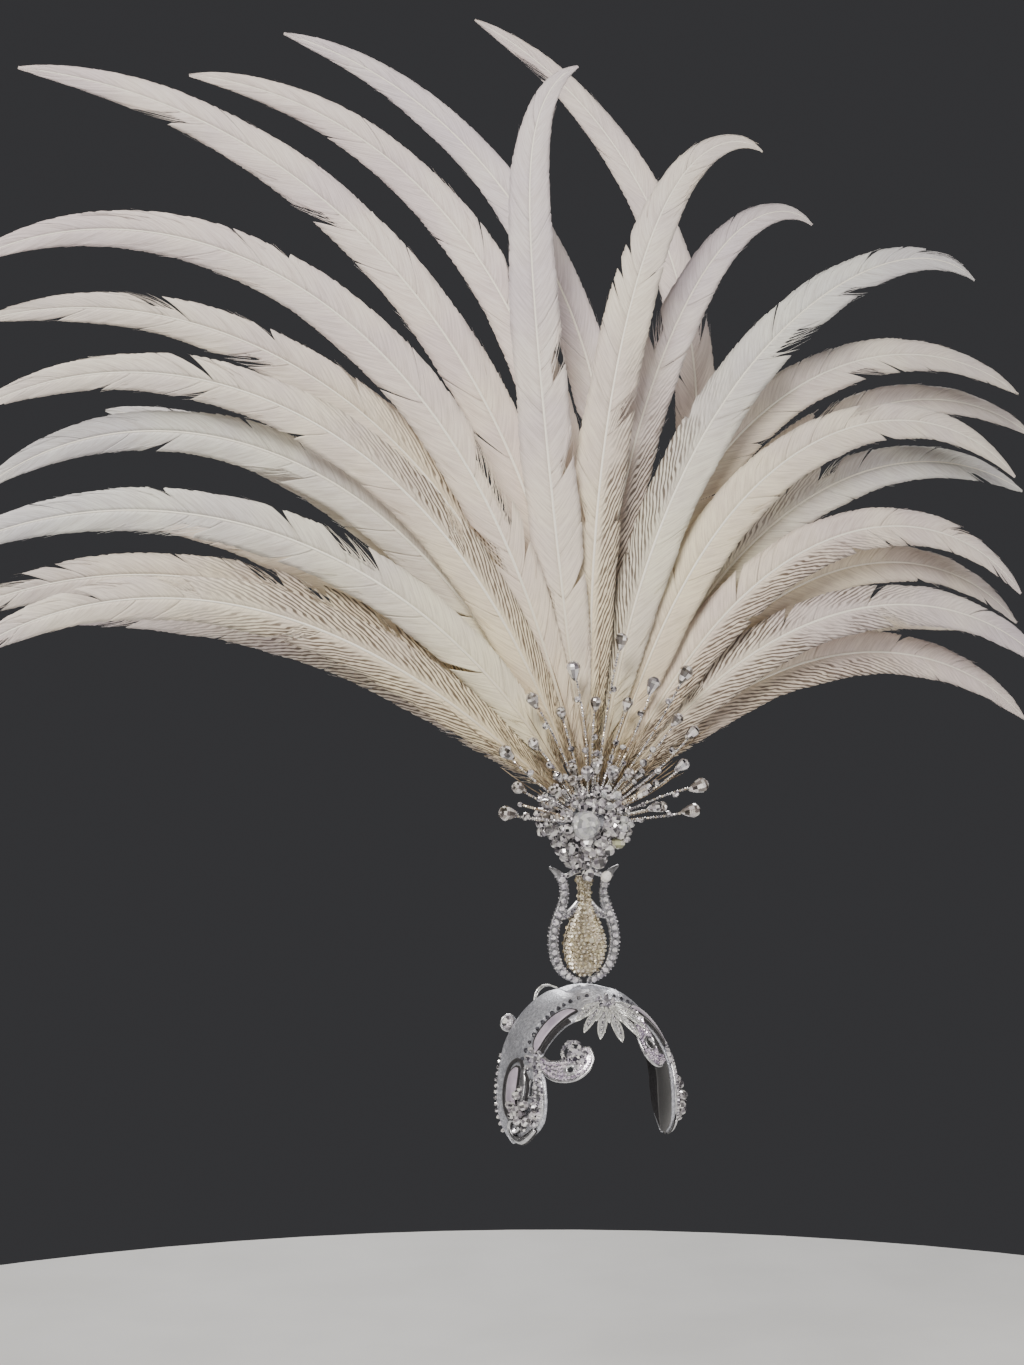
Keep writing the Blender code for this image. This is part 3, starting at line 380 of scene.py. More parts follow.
def cut_stone(bm, point, outward, radius, height, facets=8, table=0.55, slot=0):
    """A cut stone with its table outwards and its girdle on the point."""
    turn = outward.to_track_quat("Z", "Y").to_matrix().to_4x4()
    place = Matrix.Translation(point + outward * height / 2) @ turn
    made = bmesh.ops.create_cone(
        bm, cap_ends=True, segments=facets, radius1=radius, radius2=radius * table, depth=height, matrix=place
    )["verts"]
    paint_facet_glints(bm, made, slot)


def head_stone(bm, point, radius, height, facets=8, slot=0):
    cut_stone(bm, point, head_normal(point), radius, height, facets, slot=slot)


def multiply_colours(tree, first, second):
    mixed = add_node(tree, "ShaderNodeMix", data_type="RGBA", blend_type="MULTIPLY")
    mixed.inputs["Factor"].default_value = 1.0
    tree.links.new(first, mixed.inputs["A"])
    tree.links.new(second, mixed.inputs["B"])
    return mixed.outputs["Result"]


def stone_material(name, dark, middle, bright, metallic, roughness=0.08):
    """A cut stone with a painted reflection on each facet: from its place on the UV map each facet takes a fixed
    brightness, dark, middle or bright, standing for the part of the room it throws back.
    """
    material, tree, shader = new_material(name, middle, roughness, metallic)
    parts = add_node(tree, "ShaderNodeSeparateXYZ", in_Vector=texture_place(tree, "UV"))
    # Painted reflections: each facet's brightness, from dark through middle to bright, read from its place on the
    # UV map.
    painted_reflections = colour_blend(tree, parts.outputs["X"], dark, bright, 0.05, 0.90)
    painted_reflections.node.color_ramp.elements.new(0.45).color = (*middle, 1.0)
    flaw = object_noise(tree, 260.0)
    tint = colour_blend(tree, flaw, (0.90, 0.87, 0.93), (1.0, 1.0, 0.96), 0.40, 0.60)
    tree.links.new(multiply_colours(tree, painted_reflections, tint), shader.inputs["Base Color"])
    vary_roughness(tree, shader, flaw, 0.6 * roughness, 1.8 * roughness)
    shader.inputs["Coat Weight"].default_value = 1.0
    shader.inputs["Coat Roughness"].default_value = 0.03
    return material


jet = mottled(
    "jet stones", (0.03, 0.03, 0.035), 0.12, 0.0, 500.0, 2.0, (0.02, 0.02, 0.022), (0.10, 0.10, 0.12),
    gloss=(0.06, 0.22),
)
strass = stone_material("clear strass", (0.06, 0.055, 0.075), (0.50, 0.49, 0.54), (1.0, 0.99, 1.0), 0.4)

StoneSpot = namedtuple("StoneSpot", "around ahead radius")
JET_FULLER = 1.3
JET_LINE = rows_of(
    StoneSpot, (7, 0.285, 0.0016), (13, 0.28, 0.0014), (19, 0.275, 0.0017), (24, 0.27, 0.0014),
    (28, 0.265, 0.0017), (33, 0.255, 0.0019), (37, 0.25, 0.0014), (41, 0.245, 0.0018), (46, 0.24, 0.0015),
    (50, 0.245, 0.0019), (55, 0.245, 0.0014), (60, 0.24, 0.0018), (65, 0.24, 0.0015),
)


def add_stones(name, spots, material, lift, fuller, height):
    """Stones of one kind glued on the band on both sides, as one piece."""
    bm = bmesh.new()
    for side, label in SIDES:
        for spot in spots:
            point = head_point(side * spot.around, spot.ahead, BAND_THICKNESS + lift)
            head_stone(bm, point, fuller * spot.radius, height)
    add_piece(name, bm, [material])


add_stones("jet_stones", JET_LINE, jet, 0.0004, JET_FULLER, 0.0018)

KNOT_STONES = rows_of(
    StoneSpot, (59, 0.375, 0.0036), (62, 0.435, 0.0042), (63.5, 0.355, 0.0034), (66, 0.405, 0.0036),
    (58.5, 0.315, 0.0028), (67, 0.465, 0.0030), (61.5, 0.495, 0.0034), (68.5, 0.350, 0.0028),
    (63, 0.305, 0.0024), (65, 0.520, 0.0030), (57.5, 0.430, 0.0024),
)
add_stones("knot_stones", KNOT_STONES, strass, 0.0005, 1.0, 0.0032)


# Crescents and front edges. Lilac-grey satin stretched over a raised crescent on each side of the band, with a
# black strip before it as painted shade of the gap there, and a fine black line round it. They are glued to the
# band.
TRIM_THICKNESS = 0.0016
SEAM_GAP = 0.0003
BAND_OUTSIDE = BAND_THICKNESS + SEAM_GAP
TrimRow = namedtuple("TrimRow", "around low high")
CRESCENT_ROWS = rows_of(
    TrimRow, (21, 0.430, 0.445), (26, 0.36, 0.440), (34, 0.315, 0.435), (46, 0.300, 0.420), (54, 0.315, 0.415),
    (59, 0.385, 0.400),
)
FRONT_EDGE_ROWS = rows_of(
    TrimRow, (29, 0.453, 0.500), (36, 0.440, 0.490), (46, 0.427, 0.480), (57, 0.422, 0.466),
)

lilac = mottled(
    "lilac satin", (0.50, 0.44, 0.53), 0.36, 0.0, 70.0, 3.0, (0.36, 0.31, 0.39), (0.60, 0.53, 0.62),
    Sheen_Weight=0.35, Sheen_Roughness=0.4,
)
tree = lilac.node_tree
weave = add_node(
    tree, "ShaderNodeTexWave", in_Vector=texture_place(tree), in_Scale=520.0, in_Distortion=1.5, in_Detail=1.0
)
add_bump(tree, tree.nodes["Principled BSDF"], weave.outputs["Fac"], 0.10, 0.0002)


def trim_strip(name, side, rows, puff, material, along=30, across=8):
    """A raised strip laid on the band between two lines ahead of the crown, fuller in its middle."""
    line = smooth_rows(rows, 6)
    start, end = rows[0].around, rows[-1].around

    def place(u, v):
        around = start + u * (end - start)
        low = table_value(line, around, 1)
        high = table_value(line, around, 2)
        full = (1 - (2 * v - 1) ** 4) * (1 - (2 * u - 1) ** 10)
        return head_point(side * around, low + v * (high - low), BAND_OUTSIDE + TRIM_THICKNESS + puff * full)

    bm = bmesh.new()
    lay_grid(bm, along, across, place)
    face_out(bm)
    strip = add_piece(name + "_skin", bm, [material], [name])
    add_wall(strip, TRIM_THICKNESS + 0.5 * puff)
    return strip


def turn_out(bm):
    bmesh.ops.recalc_face_normals(bm, faces=bm.faces)


def lay_tube(bm, along, sides, place, slot=0, capped=True):
    """A tube laid where place(u, v) says, with its two ends filled."""
    made = len(bm.verts)
    lay_grid(bm, along, sides, place, closed=True, slot=slot)
    bm.verts.ensure_lookup_table()
    if capped:
        rim = {edge for vertex in bm.verts[made:] for edge in vertex.link_edges if edge.is_boundary}
        for face in bmesh.ops.holes_fill(bm, edges=list(rim), sides=sides)["faces"]:
            face.material_index = slot


def tube_along(bm, points, radius, sides, closed=False):
    """A round tube through points, tapered to its ends unless it is closed on itself."""
    count = len(points)
    frames = []
    for index, point in enumerate(points):
        before = points[index - 1] if closed or index else point
        after = points[(index + 1) % count] if closed or index < count - 1 else point
        forward = (after - before).normalized()
        side = forward.cross(Vector((0.31, 0.95, 0.05))).normalized()
        frames.append((point, side, side.cross(forward).normalized()))
    if closed:
        frames.append(frames[0])

    def place(u, v):
        point, side, up = frames[round(u * (len(frames) - 1))]
        turn = math.tau * v
        size = radius if closed or 0 < u < 1 else 0.35 * radius
        return point + (side * math.cos(turn) + up * math.sin(turn)) * size

    lay_tube(bm, len(frames) - 1, sides, place, capped=not closed)


def outline_on_head(side, rows, lift, steps):
    """The closed line round a strip of the table, on the head."""
    line = smooth_rows(rows, steps)
    low = [head_point(side * row[0], row[1], lift) for row in line]
    high = [head_point(side * row[0], row[2], lift) for row in reversed(line)]
    return low + high


def add_outlines(name, edges_of, lines, material, slot="black_velvet", steps=6, **more):
    """Closed tubes along the edges of strips or ribbons on both sides; a line is its rows, lift and radius."""
    bm = bmesh.new()
    for side, label in SIDES:
        for rows, lift, radius in lines:
            tube_along(bm, edges_of(side, rows, lift, steps=steps, **more), radius, 6, closed=True)
    turn_out(bm)
    add_piece(name, bm, [material])


for side, label in SIDES:
    trim_strip("crescent_" + label, side, CRESCENT_ROWS, 0.0016, lilac)
    # The black front edge strip is painted shade: it darkens the gap before the crescent.
    trim_strip("front_edge_" + label, side, FRONT_EDGE_ROWS, 0.0006, velvet_and_shade, 20, 5)
add_outlines("crescent_outline", outline_on_head, ((CRESCENT_ROWS, BAND_OUTSIDE + 0.0014, 0.0012),), velvet_and_shade)


# Side panels. Over each ear an oval panel of lilac satin with a black line round it, a lighter rib before it and
# the strip of large clear stones along the front edge, under the temple. All are glued to the band.
SIDE_PANEL_ROWS = rows_of(
    TrimRow, (70, 0.20, 0.25), (75, 0.11, 0.27), (84, 0.09, 0.275), (92, 0.11, 0.275), (96, 0.18, 0.255),
)
SIDE_RIB_ROWS = rows_of(
    TrimRow, (69, 0.28, 0.33), (76, 0.29, 0.38), (86, 0.29, 0.375), (95, 0.29, 0.33),
)
TEMPLE_STRIP_ROWS = rows_of(
    TrimRow, (64, 0.43, 0.48), (70, 0.46, 0.540), (80, 0.48, 0.597), (90, 0.48, 0.600), (97, 0.45, 0.565),
    (100, 0.43, 0.52),
)
OVAL_ROWS = rows_of(
    TrimRow, (66.5, 0.17, 0.24), (70, 0.09, 0.30), (76, 0.05, 0.40), (86, 0.03, 0.40), (95, 0.06, 0.34),
    (99, 0.15, 0.27),
)
SLOT_ROWS = rows_of(
    TrimRow, (SLOT_AROUND - SLOT_HALF_TURN, 0.425, 0.460), (SLOT_AROUND - 4, 0.417, 0.468),
    (SLOT_AROUND + 4, 0.417, 0.468), (SLOT_AROUND + SLOT_HALF_TURN, 0.425, 0.460),
)
pale_silver = mottled(
    "pale silver metal", (0.74, 0.74, 0.76), 0.26, 0.9, 160.0, 3.0, (0.52, 0.52, 0.54), (0.82, 0.82, 0.84),
    gloss=(0.18, 0.40), bump=(0.15, 0.0003),
)
for side, label in SIDES:
    trim_strip("side_panel_" + label, side, SIDE_PANEL_ROWS, 0.0020, lilac)
    trim_strip("side_rib_" + label, side, SIDE_RIB_ROWS, 0.0012, pale_silver, 24, 5)
    trim_strip("temple_strip_" + label, side, TEMPLE_STRIP_ROWS, 0.0008, pale_silver, 30, 6)
PANEL_LINES = ((OVAL_ROWS, BAND_OUTSIDE + 0.0008, 0.0017), (SIDE_PANEL_ROWS, BAND_OUTSIDE + 0.0016, 0.0011))
add_outlines("side_outline", outline_on_head, PANEL_LINES, velvet_and_shade)
SLOT_LINE = ((SLOT_ROWS, BAND_OUTSIDE + 0.0002, 0.0010),)
add_outlines("slot_rim", outline_on_head, SLOT_LINE, pale_silver, "silver", 3)

rng = random.Random(11)
bm = bmesh.new()
for side in (-1, 1):
    for row in smooth_rows(TEMPLE_STRIP_ROWS, 4):
        for share in (0.25, 0.75):
            around = row[0] + rng.uniform(-0.5, 0.5)
            ahead = row[1] + (row[2] - row[1]) * (share + rng.uniform(-0.06, 0.06))
            point = head_point(side * around, ahead, BAND_OUTSIDE + TRIM_THICKNESS + 0.0004)
            head_stone(bm, point, rng.uniform(0.0021, 0.0028), 0.0020)
add_piece("temple_stones", bm, [strass])


# Ear cluster and studs. Large clear crystals are glued in a heap at the lower front of each side panel, and a row
# of small crystal studs along the rim behind the ear.
crystal = stone_material("clear crystal", (0.03, 0.03, 0.035), (0.40, 0.38, 0.40), (1.0, 0.99, 0.98), 0.3, 0.05)


def crystal_bead(bm, centre, radius, rng, squash=0.8, small=False, slot=0):
    """A faceted crystal bead, turned any way round; one that isn't small is cut in five rings of eight."""
    if small:
        made = bmesh.ops.create_icosphere(bm, subdivisions=1, radius=radius)["verts"]
    else:
        made = bmesh.ops.create_uvsphere(bm, u_segments=8, v_segments=5, radius=radius)["verts"]
    turn = Matrix.Rotation(rng.uniform(0, math.tau), 4, Vector((rng.uniform(-1, 1), rng.uniform(-1, 1), 1)))
    size = Matrix.Diagonal((1.0, 1.0, squash, 1.0))
    bmesh.ops.transform(bm, matrix=Matrix.Translation(centre) @ turn @ size, verts=made)
    paint_facet_glints(bm, made, slot)


EAR_CRYSTALS = rows_of(
    StoneSpot, (84, 0.330, 0.0046), (88.5, 0.43, 0.0054), (90, 0.235, 0.0044), (92, 0.335, 0.0056),
    (97, 0.45, 0.0050), (97.5, 0.345, 0.0046), (101, 0.395, 0.0040), (87.5, 0.525, 0.0038), (93, 0.525, 0.0042),
    (95.5, 0.245, 0.0038), (80.5, 0.345, 0.0032), (93, 0.395, 0.0048),
)
STUD_COUNT = 13
STUD_LINE = 0.91
STUD_RADIUS = 0.0019
rng = random.Random(5)
bm = bmesh.new()
for side in (-1, 1):
    for spot in EAR_CRYSTALS:
        centre = head_point(side * spot.around, spot.ahead, BAND_OUTSIDE + 0.0022 + 0.75 * spot.radius)
        crystal_bead(bm, centre, spot.radius, rng)
    for index in range(STUD_COUNT):
        around = 68 + 38 * index / (STUD_COUNT - 1)
        front_edge, back_edge = (table_value(BAND_SMOOTH, around, column) for column in (1, 2))
        ahead = front_edge - STUD_LINE * (front_edge + back_edge)
        rise = BAND_THICKNESS + RIM_ROLL * band_profile(around, STUD_LINE) + 0.0008
        crystal_bead(bm, head_point(side * around, ahead, rise), STUD_RADIUS, rng, 1.0, small=True)
add_piece("ear_crystals", bm, [crystal])


# Ear scrolls. A flat silver ribbon in a black edge curls into a spiral below each ear, with a clear stone held in
# its eye. It is glued to the lower end of the band.
RibbonRow = namedtuple("RibbonRow", "around ahead width")
EAR_SCROLL_WIDTH = 0.0048
EAR_STONE = StoneSpot(104.2, 0.225, 0.0030)
EAR_SCROLL_ROWS = rows_of(
    RibbonRow, (102.5, 0.50, 0.8), (107, 0.40, 1.1), (110, 0.28, 1.2), (108.5, 0.17, 1.1), (103.5, 0.12, 1.0),
    (99.2, 0.17, 0.9), (99.0, 0.25, 0.8), (102.5, 0.285, 0.8), (104.5, 0.235, 0.8),
)


def drop_to_head(point, lift):
    """The point of the head's surface on the line from the head's middle to a point near it, lifted off."""
    ray = point - HEAD_CENTRE
    size = math.sqrt(
        (ray.x / HEAD_HALF_WIDTH) ** 2 + (ray.y / HEAD_HALF_DEPTH) ** 2 + (ray.z / HEAD_CROWN_HEIGHT) ** 2
    )
    skin = HEAD_CENTRE + ray / size
    return skin + lift * head_normal(skin)


def ribbon_frames(side, rows, unit, steps):
    """Points along the middle of a ribbon on the head, each with the way across it and its width there."""
    line = smooth_rows(rows, steps)
    centres = [head_point(side * row[0], row[1], 0.0) for row in line]
    last = len(line) - 1
    frames = []
    for index, (row, centre) in enumerate(zip(line, centres)):
        forward = centres[min(index + 1, last)] - centres[max(index - 1, 0)]
        frames.append((centre, forward.cross(centre - HEAD_CENTRE).normalized(), row[2] * unit))
    return frames


def head_ribbon(bm, side, rows, unit, lift, crown, steps=6, across=6):
    """A raised ribbon of changing width along a line on the head."""
    frames = ribbon_frames(side, rows, unit, steps)

    def place(u, v):
        centre, across_way, width = frames[round(u * (len(frames) - 1))]
        rise = crown * (1 - (2 * v - 1) ** 2)
        return drop_to_head(centre + across_way * (v - 0.5) * width, lift + rise)

    lay_grid(bm, len(frames) - 1, across, place)


def ribbon_edges(side, rows, lift, unit, steps=6):
    """The closed line round a ribbon on the head."""
    frames = ribbon_frames(side, rows, unit, steps)
    near = [drop_to_head(centre - across_way * width / 2, lift) for centre, across_way, width in frames]
    far = [drop_to_head(centre + across_way * width / 2, lift) for centre, across_way, width in frames]
    return near + far[::-1]


for side, label in SIDES:
    bm = bmesh.new()
    head_ribbon(bm, side, EAR_SCROLL_ROWS, EAR_SCROLL_WIDTH, BAND_OUTSIDE + 0.0016, 0.0022)
    face_out(bm)
    spiral = add_piece("ear_spiral_" + label, bm, [pale_silver], ["ear_scroll_" + label])
    add_wall(spiral, 0.0016)
SPIRAL_LINE = ((EAR_SCROLL_ROWS, BAND_OUTSIDE + 0.0012, 0.0008),)
add_outlines("ear_spiral_outline", ribbon_edges, SPIRAL_LINE, velvet_and_shade, unit=EAR_SCROLL_WIDTH)
bm = bmesh.new()
for side in (-1, 1):
    point = head_point(side * EAR_STONE.around, EAR_STONE.ahead, BAND_OUTSIDE + 0.003)
    head_stone(bm, point, EAR_STONE.radius, 0.0024, 10)
add_piece("ear_stones", bm, [strass])


# Forehead scrolls. From each temple a leaf of small lilac stones in a silver rim curls over the forehead, pierced
# at its eye. The right one carries a swirl of larger clear stones. They are glued to the band.
SCROLL_LENGTH = 0.046
SCROLL_THICKNESS = 0.0020
SCROLL_STONE_PITCH = 0.0036
SCROLL_ROWS = rows_of(
    RibbonRow, (60, 0.485, 0.10), (63, 0.56, 0.22), (62, 0.66, 0.34), (56, 0.745, 0.40), (47, 0.785, 0.36),
    (39, 0.785, 0.24), (34, 0.745, 0.12),
)
LEFT_SCROLL_ROWS = rows_of(
    RibbonRow, (27, 0.53, 0.10), (26, 0.62, 0.26), (30, 0.715, 0.40), (38, 0.785, 0.38), (47, 0.785, 0.26),
    (53, 0.72, 0.14),
)
lilac_strass = stone_material("lilac strass", (0.24, 0.20, 0.28), (0.64, 0.57, 0.68), (1.0, 0.95, 1.0), 0.25)

Eyelet = namedtuple("Eyelet", "around ahead radius")
EYELETS = {-1: Eyelet(56, 0.745, 0.0031), 1: Eyelet(35, 0.735, 0.0052)}

rng = random.Random(8)
for side, label, rows in ((-1, "right", SCROLL_ROWS), (1, "left", LEFT_SCROLL_ROWS)):
    top = BAND_OUTSIDE + SCROLL_THICKNESS
    eyelet = EYELETS[side]
    eye = head_point(side * eyelet.around, eyelet.ahead, top)
    bm = bmesh.new()
    head_ribbon(bm, side, rows, SCROLL_LENGTH, top, 0.0010, steps=10, across=18)
    pierced = [face for face in bm.faces if (face.calc_center_median() - eye).length < eyelet.radius]
    bmesh.ops.delete(bm, geom=pierced, context="FACES")
    face_out(bm)
    leaf = add_piece("scroll_leaf_" + label, bm, [pale_silver], ["scroll_" + label])
    add_wall(leaf, SCROLL_THICKNESS)
    bm = bmesh.new()
    tube_along(bm, ribbon_edges(side, rows, top, SCROLL_LENGTH), 0.0012, 6, closed=True)
    around_eye = head_normal(eye).to_track_quat("Z", "Y")
    spokes = [Vector((math.cos(math.tau * step / 14), math.sin(math.tau * step / 14), 0)) for step in range(14)]
    ring = [eye + around_eye @ (spoke * (eyelet.radius + 0.0004)) for spoke in spokes]
    tube_along(bm, ring, 0.0011, 6, closed=True)
    turn_out(bm)
    add_piece("scroll_rim_" + label, bm, [pale_silver])
    bm = bmesh.new()
    line = smooth_rows(rows, 5)
    for index, row in enumerate(line[1:-1], start=1):
        centre = head_point(side * row[0], row[1], 0.0)
        forward = head_point(side * line[index + 1][0], line[index + 1][1], 0.0) - centre
        across_way = forward.cross(centre - HEAD_CENTRE).normalized()
        width = row[2] * SCROLL_LENGTH
        count = max(1, round(width / SCROLL_STONE_PITCH))
        for step in range(count):
            offset = ((step + 0.5) / count - 0.5) * 0.86 * width
            point = drop_to_head(centre + across_way * offset, top + 0.0007)
            if (point - eye).length > eyelet.radius + 0.0020:
                head_stone(bm, point, rng.uniform(0.0014, 0.0019), 0.0014, 6)
    add_piece("scroll_stones_" + label, bm, [lilac_strass])

SWIRL_LINE = (
    (36, 0.700), (38, 0.665), (42, 0.635), (47, 0.630), (51, 0.655), (52, 0.695), (49, 0.725), (45, 0.722),
    (43.5, 0.695), (46, 0.678),
)
swirl = smooth_rows(SWIRL_LINE, 4)
bm = bmesh.new()
swirl_base = BAND_OUTSIDE + SCROLL_THICKNESS
tube_along(bm, [head_point(-row[0], row[1], swirl_base + 0.0010) for row in swirl], 0.0012, 6)
turn_out(bm)
for row in swirl[1::2]:
    point = head_point(-row[0], row[1], swirl_base + 0.0018)
    head_stone(bm, point, 0.0019, 0.0018, 8, slot=1)
PEAK_STONES = rows_of(
    StoneSpot, (47.5, 0.700, 0.0036), (43, 0.672, 0.0032), (41, 0.636, 0.0026), (47, 0.752, 0.0038),
    (41.5, 0.752, 0.0038), (43, 0.712, 0.0034), (38, 0.722, 0.0030), (44, 0.790, 0.0036), (51.5, 0.778, 0.0032),
    (37.5, 0.768, 0.0028),
)
for spot in PEAK_STONES:
    point = head_point(-spot.around, spot.ahead, swirl_base + 0.0014)
    head_stone(bm, point, spot.radius, 0.85 * spot.radius, 10, slot=1)
add_piece("scroll_swirl", bm, [pale_silver, strass])


# Palmette. Leaf-shaped petals of silver gauze in wire rims, the long ones with small clear stones on their
# mid-ribs, spread from a boss of stones that is wired to the middle of the band, over the forehead.
PALMETTE_LENGTH = 0.042
PALMETTE_AHEAD = 28.0
PALMETTE_RISE = 0.0045
BOSS_RADIUS = 0.0048
BOSS_RING_RADIUS = 0.0066
BOSS_RING_STONES = 7
icy_wire = mottled(
    "icy beaded wire", (0.70, 0.70, 0.66), 0.18, 0.35, 420.0, 1.0, (0.52, 0.52, 0.50), (0.92, 0.92, 0.89),
    (0.38, 0.6), gloss=(0.10, 0.30), bump=(0.5, 0.0004), Coat_Weight=0.7, Coat_Roughness=0.05,
)
petal_gauze = mottled(
    "silver petal gauze", (0.62, 0.63, 0.62), 0.35, 0.5, 240.0, 3.0, (0.34, 0.35, 0.36), (0.74, 0.75, 0.76),
    gloss=(0.22, 0.5), bump=(0.25, 0.0004),
)


def palmette_point(turn, radius, lift):
    ahead = math.radians(PALMETTE_AHEAD) + radius * math.cos(turn) / HEAD_HALF_DEPTH
    around = radius * math.sin(turn) / (HEAD_HALF_WIDTH * math.cos(ahead))
    return head_point(math.degrees(around), math.sin(ahead), lift)


PetalRow = namedtuple("PetalRow", "turn reach width over")
PETAL_ROWS = rows_of(
    PetalRow, (-73, 0.67, 9.0, 0.0), (-49, 0.78, 8.5, 0.0), (-24, 0.89, 8.0, 0.0), (0, 1.00, 7.5, 0.0),
    (24, 0.90, 8.0, 0.0), (49, 0.78, 8.5, 0.0), (73, 0.67, 9.0, 0.0), (-86, 0.44, 9.0, 0.0016),
    (-61, 0.48, 7.5, 0.0016), (-37, 0.52, 7.0, 0.0016), (-12, 0.55, 6.5, 0.0016), (12, 0.55, 6.5, 0.0016),
    (37, 0.52, 7.0, 0.0016), (61, 0.48, 7.5, 0.0016), (86, 0.44, 9.0, 0.0016),
)


def petal_point(petal, along, aside, rise):
    """A point of a petal: its share of the length, of the half width aside, and its rise off the skin."""
    radius = 0.002 + PALMETTE_LENGTH * petal.reach * along
    swing = math.radians(petal.width) * aside * math.sin(math.pi * along ** 0.9) ** 0.8
    cupped = 0.0016 * math.sin(math.pi * along) * (1 - aside ** 2)
    lift = BAND_OUTSIDE + TRIM_THICKNESS / 2 + PALMETTE_RISE * radius / PALMETTE_LENGTH + petal.over
    return palmette_point(math.radians(petal.turn) + swing, radius, lift + cupped + rise)


bm = bmesh.new()
for petal in PETAL_ROWS:
    lay_grid(bm, 14, 4, lambda u, v: petal_point(petal, u, 2 * v - 1, 0.0))
face_out(bm)
skin = add_piece("palmette_petals", bm, [petal_gauze], ["palmette"])
add_wall(skin, 0.0007)
bm = bmesh.new()
for petal in PETAL_ROWS:
    rim = [petal_point(petal, step / 12, -1, 0.0003) for step in range(13)]
    rim += [petal_point(petal, 1 - step / 12, 1, 0.0003) for step in range(1, 12)]
    tube_along(bm, rim, 0.0008, 6, closed=True)
    tube_along(bm, [petal_point(petal, 0.08 + 0.84 * step / 10, 0.0, 0.0003) for step in range(11)], 0.0006, 5)
turn_out(bm)
for petal in PETAL_ROWS[:7]:
    for step in range(4, 10):
        point = petal_point(petal, step / 11, 0.0, 0.0010)
        head_stone(bm, point, 0.0014, 0.0012, 6, slot=1)
boss = palmette_point(0.0, 0.002, BAND_OUTSIDE + 0.0045)
head_stone(bm, boss, BOSS_RADIUS, 0.0032, 10, 1)
for step in range(BOSS_RING_STONES):
    turn = math.tau * step / BOSS_RING_STONES
    point = palmette_point(turn, BOSS_RING_RADIUS, BAND_OUTSIDE + 0.0045)
    head_stone(bm, point, 0.0024, 0.0022, 8, slot=1)
add_piece("palmette_wires", bm, [icy_wire, strass])


# Button. A round faceted crystal in a silver ring stands on the rim behind, above the wearer's right ear, glued on
# at its edge.
button_low, button_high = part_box("disc_button")
button_centre = (button_low + button_high) / 2
BUTTON_RADIUS = (button_high.x - button_low.x) / 2
BUTTON_RING_RADIUS = 0.0012
bm = bmesh.new()
ring = []
for step in range(32):
    turn = math.tau * step / 32
    ring.append(button_centre + Vector((math.cos(turn), 0, math.sin(turn))) * (BUTTON_RADIUS - BUTTON_RING_RADIUS))
tube_along(bm, ring, BUTTON_RING_RADIUS, 8, closed=True)
turn_out(bm)
for way in (-1, 1):
    face_way = Vector((0, way, 0))
    cut_stone(bm, button_centre, face_way, BUTTON_RADIUS - 0.0014, 0.0028, 12, 0.5, 1)
    cut_stone(bm, button_centre + face_way * 0.0027, face_way, 0.0026, 0.0012, 8, 0.5, 1)
add_piece("button_crystal", bm, [pale_silver, crystal], ["disc_button"])


# Wire loop. Two turns of thin silver wire stand as a small loop behind the crown, with their ends under the
# band's cloth.
LOOP_WIRE_RADIUS = 0.0008
LOOP_RISE = 0.008
bm = bmesh.new()
for turn_index, grow in enumerate((1.0, 0.80)):
    points = []
    for step in range(25):
        share = step / 24
        rise = grow * LOOP_RISE * math.sin(math.pi * share) ** 0.8
        around = -30 + 18 * share + 1.4 * turn_index
        points.append(head_point(around, -0.25 - 0.012 * turn_index, BAND_THICKNESS + LOOP_WIRE_RADIUS + rise))
    tube_along(bm, points, LOOP_WIRE_RADIUS * (1.0 - 0.3 * turn_index), 8)
turn_out(bm)
add_piece("loop_wire", bm, [icy_wire], ["wire_loop"])


# Lyre stem. A flat silver lyre stands on a saddle on the crown. Each arm carries a row of large clear stones
# between two rows of tiny ones, and the post goes up through the crystal cup into the feather socket. It is
# soldered as one piece.
LYRE_HEIGHT = 0.101
LYRE_HALF_WIDTH = 0.0335
LYRE_THICKNESS = 0.0040
FOOT_THICKNESS = 0.0020
LYRE_BASE = BAND_THICKNESS + FOOT_THICKNESS + 2 * SEAM_GAP
LYRE_TOP = LYRE_BASE + LYRE_HEIGHT
POST_RADIUS = 0.0025
POST_LENGTH = 0.05
POST_RISE = 0.020
ArmRow = namedtuple("ArmRow", "x z width")
ARM_ROWS = rows_of(
    ArmRow, (0.08, 0.022, 0.10), (0.34, 0.052, 0.15), (0.60, 0.115, 0.20), (0.80, 0.225, 0.24),
    (0.875, 0.380, 0.25), (0.80, 0.535, 0.25), (0.64, 0.670, 0.24), (0.55, 0.800, 0.21), (0.60, 0.900, 0.20),
    (0.74, 0.965, 0.17), (0.98, 1.025, 0.05),
)
BRIDGE_ROWS = rows_of(
    ArmRow, (0.66, 0.590, 0.10), (0.46, 0.612, 0.12), (0.28, 0.650, 0.14), (0.14, 0.700, 0.14),
)
LIP_ROWS = rows_of(
    ArmRow, (0.74, 0.955, 0.05), (0.52, 0.945, 0.09), (0.30, 0.975, 0.12), (0.12, 0.985, 0.10),
)


def lyre_point(row):
    return Vector((row[0] * LYRE_HALF_WIDTH, 0, LYRE_BASE + row[1] * LYRE_HEIGHT))


